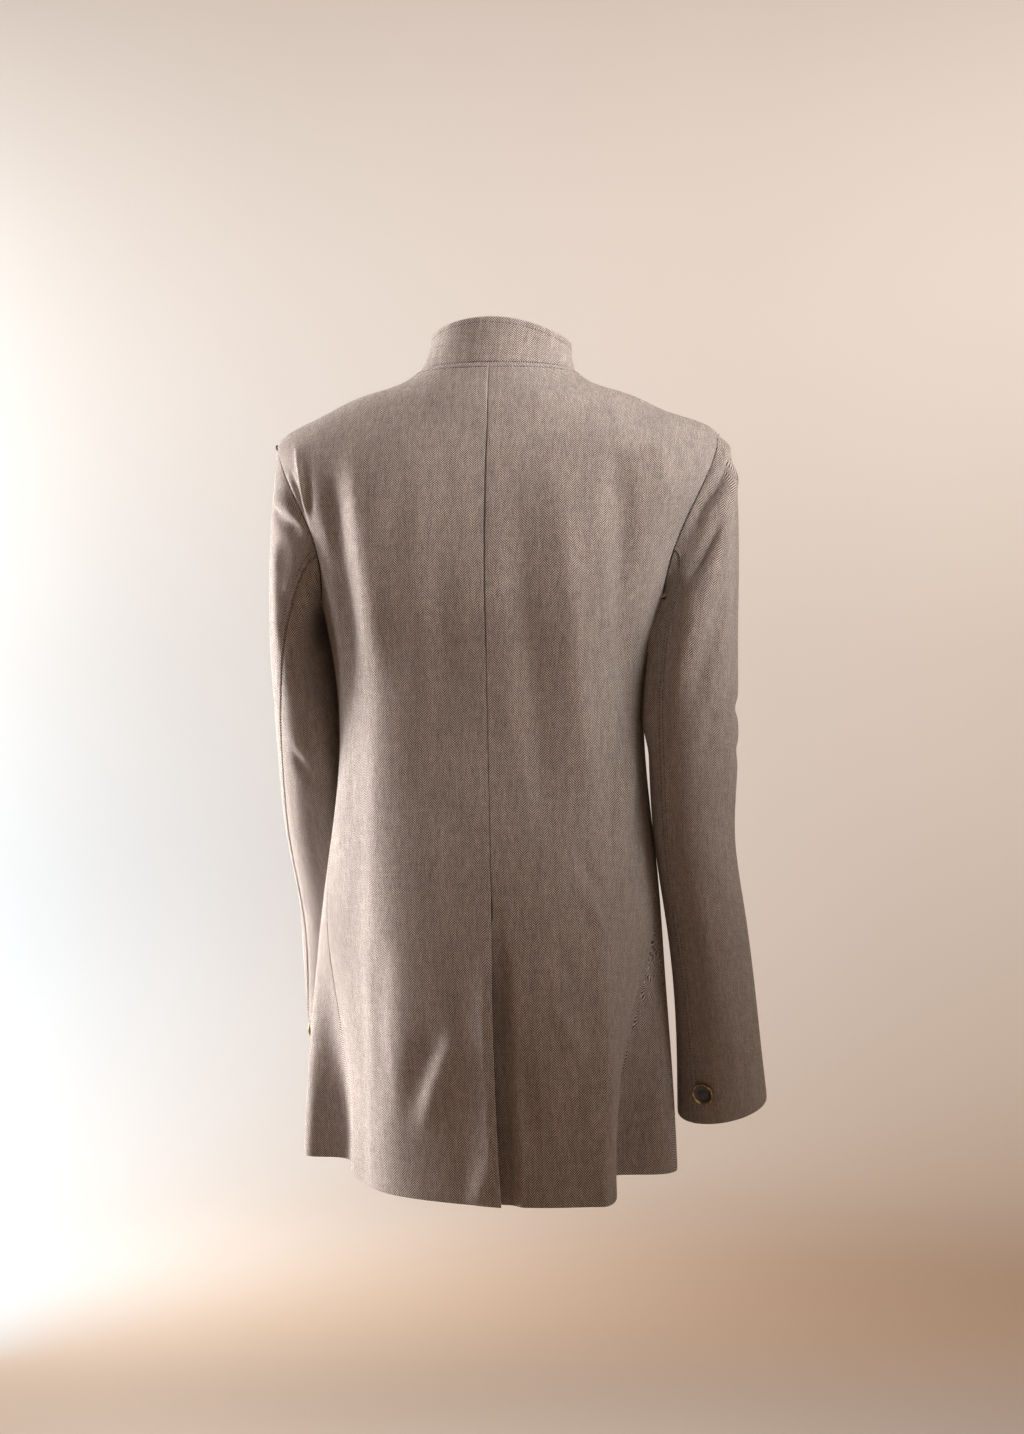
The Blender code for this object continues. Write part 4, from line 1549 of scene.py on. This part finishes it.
@dataclass(frozen=True)
class Collar(CutPiece):
    """The stand collar: a band from the neckline to its own rim, open at centre front."""

    name: str = "collar_band"
    node: str = "collar"
    flat: tuple[float, float] = (0.455, 0.050)
    area: float = 0.021
    creases: tuple[Crease, ...] = ()
    half_width: float = 0.0655
    centre_x: float = -0.0080
    side_y: float = 0.001
    side_z: float = 0.034
    back_y: float = 0.0560
    back_z: float = 0.046
    front_y: float = -0.070
    front_z: float = -0.018
    left_rise: float = 0.004
    hollow: float = 0.0016
    opening: float = 1.2
    height: float = 0.043
    cloth: float = 3.6 * MM
    columns: int = 200
    rows: int = 6

    def slot(self) -> Slot:
        """The collar's own slot."""
        return Slot.COLLAR

    def rim(self, angle: Array) -> Array:
        """The rim's line, by the same rule as the body's rings.

        Args:
            angle: degrees from centre back toward the left.

        Returns:
            The points.
        """
        turn = np.radians(angle)
        across, along = np.sin(turn), np.cos(turn)
        to_back, to_front = np.clip(along, 0, None), np.clip(-along, 0, None)
        x = self.centre_x + self.half_width * across
        y = self.side_y + (self.back_y - self.side_y) * to_back
        y = y + (self.front_y - self.side_y) * to_front
        z = self.side_z + (self.back_z - self.side_z) * to_back**2
        z = z + (self.front_z - self.side_z) * to_front**2 + self.left_rise * across
        return np.stack([x, y, z], -1)

    def sheet(self) -> Sheet:
        """The finished band: straight from neckline to rim, hollowed a little between them.

        Returns:
            The sheet.
        """
        end = 180.0 - self.opening
        columns = np.linspace(-end, end, self.columns)
        angle, rise = np.meshgrid(columns, crowded(self.rows, self.height))
        left, right = (BODY.point(side, np.abs(angle), np.zeros_like(angle)) for side in Side)
        base = np.where((angle < 0)[..., None], right, left)
        rim = self.rim(angle)
        inward = unit(rim * np.array([1.0, 1.0, 0.0]))
        points = base + (rim - base) * rise[..., None]
        points = points - inward * (self.hollow * 4 * rise * (1 - rise))[..., None]
        edges = {"left": TURNED, "right": TURNED, "top": Edge(gap=0.2 * MM),
                 "bottom": Edge(stitched=NECK.stitched)}
        return finish_sheet(points, rim - base, (self.columns // 2, None), self.cloth, edges,
                            self.creases)

    def stitching(self) -> list[tuple[str, float]]:
        """One row below the rim."""
        return [("bottom", NECK.stitched)]


@dataclass(frozen=True)
class Button:
    """A bronze-rimmed button with a dished dark face, on a thread shank.

    face and rim hold the turned profile from the middle of the face to the back, as (radius,
    height) in shares of the button's own radius and height.
    """

    name: str
    node: str
    radius: float
    height: float = 4.6 * MM
    shank: float = 1.0 * MM
    around: int = 72
    face: tuple[tuple[float, float], ...] = (
        (0.0, 0.62), (0.12, 0.62), (0.26, 0.60), (0.42, 0.58), (0.56, 0.60), (0.68, 0.67),
        (0.755, 0.74), (0.775, 0.72),
    )
    rim: tuple[tuple[float, float], ...] = (
        (0.79, 0.74), (0.82, 0.86), (0.865, 0.96), (0.915, 1.0), (0.96, 0.95), (0.99, 0.82),
        (1.0, 0.64), (0.995, 0.46), (0.965, 0.28), (0.91, 0.14), (0.82, 0.05), (0.66, 0.0),
        (0.0, 0.0),
    )

    def build(self, dress: Wardrobe, sheet: Sheet) -> None:
        """Turns the button and seats it on the cloth where its solid is.

        Args:
            dress: the materials.
            sheet: the cloth it is sewn to.
        """
        low, high = (np.array(corner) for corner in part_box(self.node))
        centre = (low + high) / 2
        near = np.argmin(np.linalg.norm(sheet.outer - centre, axis=-1))
        normal = sheet.normal.reshape(-1, 3)[near]
        seat = centre - normal * dot(centre - sheet.outer.reshape(-1, 3)[near], normal)
        up = np.array([0.0, 0.0, 1.0])
        first = unit(up - normal * (up @ normal))
        turn = (np.arange(self.around) * FULL_TURN / self.around)[:, None]
        ring = np.cos(turn) * first + np.sin(turn) * np.cross(normal, first)
        shape = np.array(self.face + self.rim)
        out = np.maximum(shape[:, 0], 1e-4) * self.radius
        points = seat + normal * self.shank + ring[None] * out[:, None, None]
        points = points + normal * (shape[:, 1] * self.height)[:, None, None]
        mesh = quad_mesh(self.name, points, ring_quads(len(shape), self.around))
        obj = add_piece(self.name, mesh, [dress.bronze, dress.horn])
        horn = np.arange(len(shape) - 1) < len(self.face)
        mesh.polygons.foreach_set("material_index", np.repeat(horn, self.around).astype(np.int32))
        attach(obj, ROOT)
        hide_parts(self.node)


# ---------------------------------------------------------------- the whole coat


def crease_rows(*rows: tuple[float, ...]) -> tuple[Crease, ...]:
    """Creases from rows of sizes in millimetres.

    Args:
        rows: in each, (across, down) of its start, its bend and its end; its lift; its reach to
            the left and to the right of its line; and the share of its length over which it fades.

    Returns:
        The creases.
    """
    return tuple(
        Crease(np.array(line).reshape(3, 2) * MM, lift * MM, (left * MM, right * MM), fade)
        for *line, lift, left, right, fade in rows
    )


LEFT_BACK_CREASES = crease_rows(
    (84, 40, 104, 420, 142, 820, 5, 20, 45, 0.12),
    (126, 66, 108, 175, 110, 330, 5.6, 11, 22, 0.3),
    (148, 86, 136, 200, 148, 360, -6.8, 11, 12, 0.3),
    (187, 64, 177, 110, 175.5, 172, 3.4, 3.5, 4, 0.3),
    (197, 95, 187, 130, 183, 158, -3, 5, 4, 0.45),
    (172, 90, 169, 130, 171, 158, -2, 3.5, 4, 0.45),
    (198, 112, 190, 148, 180, 178, 1.4, 3, 3, 0.4),
    (146, 375, 146.5, 400, 150, 440, -1.4, 6, 5, 0.45),
    (107, 520, 118, 600, 112, 720, -2.6, 13, 13, 0.35),
    (44, 604, 70, 645, 88, 715, -3.8, 16, 10, 0.4),
    (30, 612, 54, 650, 78, 715, 3.4, 12, 16, 0.4),
    (6, 720, 18, 745, 30, 775, 2.4, 8, 12, 0.4),
    (3, 500, 4, 620, 2, 770, 2.2, 10, 10, 0.2),
    (56, 90, 58, 200, 62, 360, 2.4, 13, 13, 0.4),
    (34, 170, 38, 250, 36, 350, -2, 12, 12, 0.4),
)
RIGHT_BACK_CREASES = crease_rows(
    (-112, 80, -130, 170, -130, 350, -6.2, 13, 14, 0.28),
    (-66, 80, -74, 260, -100, 470, 5.4, 17, 15, 0.3),
    (-24, 110, -35, 290, -58, 480, -3.8, 13, 15, 0.28),
    (-148, 70, -166, 120, -172, 160, 2.1, 9, 9, 0.35),
    (-186, 98, -196, 108, -206, 114, -1.5, 4, 4, 0.45),
    (-150, 350, -140, 400, -116, 450, 3.9, 14, 12, 0.4),
    (-70, 440, -92, 480, -112, 500, -2.7, 6, 6, 0.4),
    (-76, 485, -94, 510, -108, 535, 2.7, 6, 6, 0.4),
    (-52, 540, -66, 560, -84, 580, -2.4, 7, 7, 0.4),
    (-46, 585, -66, 610, -84, 645, 2.7, 8, 8, 0.4),
    (-74, 665, -80, 680, -86, 700, 2.4, 7, 7, 0.4),
    (-15, 600, -30, 660, -34, 760, -3.3, 10, 12, 0.4),
    (-96, 470, -106, 600, -104, 740, 2.4, 9, 6, 0.25),
)
LEFT_FRONT_CREASES = crease_rows(
    (-150, 150, -115, 185, -60, 235, -2.4, 9, 12, 0.4),
    (-60, 300, -50, 380, -66, 470, 2, 20, 24, 0.4),
    (-120, 420, -118, 560, -130, 740, 3.4, 34, 20, 0.25),
    (-30, 500, -42, 600, -40, 720, -2, 16, 18, 0.3),
)
RIGHT_FRONT_CREASES = crease_rows(
    (155, 145, 120, 190, 72, 250, -2.6, 12, 9, 0.4),
    (56, 290, 66, 370, 58, 480, 1.8, 22, 18, 0.4),
    (112, 440, 122, 580, 116, 750, 3, 18, 36, 0.25),
    (40, 520, 34, 610, 52, 730, -2.2, 18, 14, 0.3),
)
LEFT_SLEEVE_CREASES = crease_rows(
    (-88, 66, -104, 110, -116, 180, 3.8, 14, 9, 0.25),
    (-54, 38, -95, 38, -134, 52, 3.6, 5, 9, 0.28),
    (-60, 47, -98, 50, -138, 66, -4.2, 7, 4, 0.28),
    (-110, 113, -119, 113.5, -130, 116, 1.2, 3, 6, 0.45),
    (20, 60, 48, 95, 58, 150, -3, 9, 6, 0.4),
    (60, 250, 20, 268, -30, 262, -2.2, 7, 9, 0.4),
    (58, 300, 30, 310, -10, 296, -1.8, 8, 7, 0.4),
)
RIGHT_SLEEVE_CREASES = crease_rows(
    (-10, 13, 18, 14, 44, 40, 2.4, 8, 6, 0.35),
    (8, 16, 30, 48, 70, 101, -7.5, 5.5, 3.4, 0.22),
    (4, 28, 27, 64, 66, 112, 4.8, 4, 12, 0.3),
    (38, 24, 44, 46, 58, 68, 2.1, 5, 4, 0.4),
    (33, 88, 43, 118, 68, 150, -6.6, 6, 4, 0.3),
    (24, 96, 36, 130, 58, 160, 3.3, 4, 9, 0.35),
    (28, 146, 28, 205, 58, 268, -5.4, 10, 9, 0.3),
    (52, 158, 54, 205, 74, 252, 3.6, 8, 8, 0.35),
    (70.5, 142, 74, 168, 75, 194, -2.4, 4, 5, 0.4),
    (26, 248, 34, 285, 40, 325, -3, 8, 9, 0.4),
    (64, 94, 56, 98, 46, 98, -1.7, 2.4, 2.4, 0.45),
    (62, 102, 53, 105, 45, 104, -1.4, 2.2, 2.2, 0.45),
    (64, 112, 56, 117, 50, 116, -1.2, 2.2, 2.2, 0.45),
    (-60, 60, -50, 100, -66, 140, -4.5, 6, 9, 0.4),
    (-66, 240, -30, 262, 10, 256, -3, 9, 8, 0.4),
    (-64, 290, -36, 300, -6, 290, -2.4, 7, 8, 0.4),
)
LEFT_UNDER_CREASES = crease_rows(
    (-20, 66, 14, 80, 50, 108, -2.4, 6, 9, 0.4),
    (55, 120, 36, 146, 16, 178, -2.6, 7, 6, 0.4),
    (58, 108, 36, 128, 4, 140, 1.6, 8, 8, 0.4),
)
RIGHT_UNDER_CREASES = crease_rows(
    (-48, -20, -44, 70, -46, 150, 6.5, 13, 13, 0.22),
    (-50, -30, -52, 12, -46, 56, 5, 12, 12, 0.3),
)
BACK_SEAM = 5 / 16
FRONT_SEAM = 11 / 16
BACK_CUT = ((0.262, 0.790), 0.155)
FRONT_CUT = ((0.300, 0.760), 0.180)
UPPER_CUT = ((0.215, 0.640), 0.113)
UNDER_CUT = ((0.135, 0.500), 0.054)


@dataclass(frozen=True)
class Coat:
    """Every piece of the coat, in the order in which it is made."""

    panels: tuple[BodyPanel, ...] = (
        BodyPanel("left_back_cloth", "back_left", *BACK_CUT, LEFT_BACK_CREASES, Side.LEFT,
                  Face.BACK),
        BodyPanel("right_back_cloth", "back_right", *BACK_CUT, RIGHT_BACK_CREASES, Side.RIGHT,
                  Face.BACK, lap=0.042, lap_under=True, vented=True),
        BodyPanel("left_front_cloth", "front_left", *FRONT_CUT, LEFT_FRONT_CREASES, Side.LEFT,
                  Face.FRONT, lap=0.022, lap_under=True),
        BodyPanel("right_front_cloth", "front_right", *FRONT_CUT, RIGHT_FRONT_CREASES, Side.RIGHT,
                  Face.FRONT, lap=0.022),
    )
    collar: Collar = Collar()
    front_buttons: int = 5
    front_radius: float = 0.0115
    cuff_radius: float = 0.0106

    def sleeve(self, word: str, form: SleeveForm, upper: tuple[Crease, ...],
               under: tuple[Crease, ...]) -> tuple[SleevePiece, SleevePiece]:
        """The two pieces of one sleeve.

        Args:
            word: left or right.
            form: the sleeve's form.
            upper: the upper piece's creases.
            under: the under piece's creases.

        Returns:
            The upper piece and the under piece.
        """
        return (
            SleevePiece(f"{word}_upper_sleeve_cloth", f"sleeve_{word}_upper", *UPPER_CUT, upper,
                        form, FRONT_SEAM - 1.0, BACK_SEAM, 0.0, True),
            SleevePiece(f"{word}_under_sleeve_cloth", f"sleeve_{word}_under", *UNDER_CUT, under,
                        form, BACK_SEAM, FRONT_SEAM, 0.5, False),
        )

    def build(self, dress: Wardrobe) -> None:
        """Makes every piece.

        Args:
            dress: the materials.
        """
        left = self.sleeve("left", SleeveForm(Side.LEFT, LEFT_ARM),
                           LEFT_SLEEVE_CREASES, LEFT_UNDER_CREASES)
        right = self.sleeve("right", SleeveForm(Side.RIGHT, RIGHT_ARM),
                            RIGHT_SLEEVE_CREASES, RIGHT_UNDER_CREASES)
        made = {piece.name: piece.build(dress) for piece in (*self.panels, *left, *right)}
        self.collar.build(dress)
        for number in range(1, self.front_buttons + 1):
            node = f"front_button_{number}"
            cloth = made["right_front_cloth"]
            Button(f"bronze_{node}", node, self.front_radius).build(dress, cloth)
        for word in ("left", "right"):
            node, cloth = f"cuff_button_{word}", made[f"{word}_upper_sleeve_cloth"]
            Button(f"bronze_{node}", node, self.cuff_radius).build(dress, cloth)


# ---------------------------------------------------------------- the studio


def add_looking(obj: bpy.types.Object, place: Array, aim: Array) -> None:
    """Links a light or a camera, upright at its place and facing its aim.

    Args:
        obj: the light or camera.
        place: where it stands.
        aim: what it looks at.
    """
    back = unit(place - aim)
    right = unit(np.cross([0.0, 0.0, 1.0], back))
    matrix = np.eye(4)
    matrix[:3, :3] = np.stack([right, np.cross(back, right), back], axis=1)
    matrix[:3, 3] = place
    obj.matrix_world = Matrix(matrix.tolist())
    bpy.context.scene.collection.objects.link(obj)


@dataclass(frozen=True)
class SoftBox:
    """A soft studio light."""

    name: str
    place: Point
    aim: Point
    size: tuple[float, float]
    watts: float
    colour: Colour
    spread: float

    def build(self) -> None:
        """Adds a rectangular light at its place, facing its aim, unseen by the camera."""
        data = bpy.data.lights.new(self.name, "AREA")
        data.shape = "RECTANGLE"
        data.size, data.size_y = self.size
        data.energy, data.color = self.watts, self.colour
        data.spread = math.radians(self.spread)
        obj = bpy.data.objects.new(self.name, data)
        obj.visible_camera = False
        add_looking(obj, np.array(self.place), np.array(self.aim))


DAYLIGHT = (1.0, 0.93, 0.89)
WARM = (1.0, 0.93, 0.88)


@dataclass(frozen=True)
class Studio:
    """The floor and its sweep, the lights and the camera."""

    floor_z: float = -1.35
    flat_radius: float = 2.4
    wall_radius: float = 3.6
    wall_top: float = 2.4
    hub: float = 0.02
    around: int = 96
    rings: tuple[int, int, int] = (12, 17, 8)
    distance: float = 1.9
    turn: float = -6.0
    aside: float = 0.0172
    eye_z: float = -0.32
    lens: float = 50.74
    lights: tuple[SoftBox, ...] = (
        SoftBox("window", (1.75, -0.58, -0.12), (0, 0.05, -0.38), (0.7, 1.2), 18, DAYLIGHT, 95),
        SoftBox("window_foot", (1.75, -0.58, -0.55), (0, 0.05, -0.45), (0.7, 1), 17.5,
                DAYLIGHT, 95),
        SoftBox("high_right", (-0.9, 0.5, 0.45), (-0.15, 0.05, 0.08), (0.4, 0.4), 1.6,
                (1, 0.937, 0.889), 50),
        SoftBox("low_right", (-1.6, 0.35, -0.05), (-0.15, 0.05, -0.25), (0.6, 0.8), 0.9,
                (1, 0.93, 0.86), 60),
        SoftBox("low_left", (1.65, 0.3, -0.3), (0.15, 0.03, -0.32), (0.3, 0.6), 0.6,
                (1, 0.96, 0.94), 45),
        SoftBox("backdrop_high", (0, -1, 1.2), (0, -3.6, 1.2), (2.4, 0.8), 21,
                (1, 0.965, 0.941), 140),
        SoftBox("backdrop_left", (2.4, -2, 0.3), (2.1, -3.4, -0.1), (1, 1.6), 44,
                (0.865, 0.96, 1), 180),
        SoftBox("backdrop_right", (-1.2, -1.8, 1), (-1.6, -3.6, 0.2), (1, 0.8), 6.6,
                (0.94, 1, 0.945), 140),
        SoftBox("backdrop_low", (0, -1, -0.3), (0, -3.6, -0.6), (2, 1), 5, (1, 0.42, 0.06), 140),
        SoftBox("backdrop_foot", (1.5, -1.2, -0.9), (1.5, -3.2, -1.2), (1, 0.8), 8.5,
                (0.165, 0.62, 1), 120),
        SoftBox("backdrop_front", (0, 1.3, 0.9), (0, 3.6, 0.3), (2.4, 1), 75, WARM, 150),
        SoftBox("floor_front", (0, 1.9, 0.3), (0, 2, -1.35), (2.4, 0.8), 14, WARM, 110),
        SoftBox("floor_left", (1.1, -1.6, -0.1), (0.9, -1.8, -1.35), (1, 1), 7.5,
                (1, 0.875, 0.75), 120),
    )
    air: Colour = (1.0, 0.637, 0.427)
    air_strength: float = 0.262

    def sweep(self) -> bpy.types.Object:
        """The floor: a disc that curves up into a round wall, its profile turned about Z.

        The profile runs flat to flat_radius, up a quarter circle to wall_radius, and up to
        wall_top. It throws no light back on the coat, as if it were far away.

        Returns:
            The floor.
        """
        inner, bends, upper = self.rings
        bend = np.linspace(0.0, math.pi / 2, bends)
        rise = self.wall_radius - self.flat_radius
        height = self.wall_top - self.floor_z
        flat = np.stack([np.linspace(self.hub, self.flat_radius, inner), np.zeros(inner)], -1)
        curve = np.stack([self.flat_radius + rise * np.sin(bend), rise * (1 - np.cos(bend))], -1)
        wall = np.stack([np.full(upper, self.wall_radius), np.linspace(rise, height, upper)], -1)
        shape = np.concatenate([flat, curve[1:], wall[1:]])
        turn = np.arange(self.around) * FULL_TURN / self.around
        up = np.repeat(shape[:, 1:] + self.floor_z, self.around, axis=1)
        points = np.stack([shape[:, :1] * np.cos(turn), shape[:, :1] * np.sin(turn), up], -1)
        mesh = quad_mesh("studio_floor", points, ring_quads(len(shape), self.around))
        floor = add_piece("studio_floor", mesh, [StudioPaint().material()])
        floor.visible_diffuse = False
        return floor

    def camera(self) -> None:
        """A level camera behind the coat, turned a little toward the wearer's right."""
        sine, cosine = math.sin(math.radians(self.turn)), math.cos(math.radians(self.turn))
        back, beside = np.array([sine, cosine, 0.0]), np.array([-cosine, sine, 0.0])
        place = back * self.distance + beside * self.aside + np.array([0.0, 0.0, self.eye_z])
        data = bpy.data.cameras.new("camera")
        data.sensor_width = 36.0
        data.sensor_fit = "AUTO"
        data.lens = self.lens
        obj = bpy.data.objects.new("camera", data)
        add_looking(obj, place, place - back)
        bpy.context.scene.camera = obj

    def build(self) -> None:
        """Adds the floor, the lights, the air and the camera."""
        self.sweep()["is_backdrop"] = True
        for light in self.lights:
            light.build()
        world = bpy.data.worlds.new("air")
        world.use_nodes = True
        air = world.node_tree.nodes["Background"].inputs
        air["Color"].default_value = (*self.air, 1.0)
        air["Strength"].default_value = self.air_strength
        bpy.context.scene.world = world
        bpy.context.scene.view_settings.view_transform = "Standard"
        self.camera()


def main() -> None:
    """Builds the studio and the coat."""
    logging.basicConfig(level=logging.INFO, format="%(name)s: %(message)s")
    Studio().build()
    cloth = {
        Slot.WOOL: HerringboneWool("herringbone_wool").material(),
        Slot.COLLAR: HerringboneWool("collar_wool", streaks=1.5).material(),
    }
    dress = Wardrobe(cloth, Thread().material(), AgedBronze().material(), DarkHorn().material())
    Coat().build(dress)
    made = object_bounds()
    spare = (*(made[0] - CAD_BOX[0]), *(CAD_BOX[1] - made[1]))
    LOG.info("inside the solids' box by %s", [round(x, 4) for x in spare])


if __name__ == "__main__":
    main()
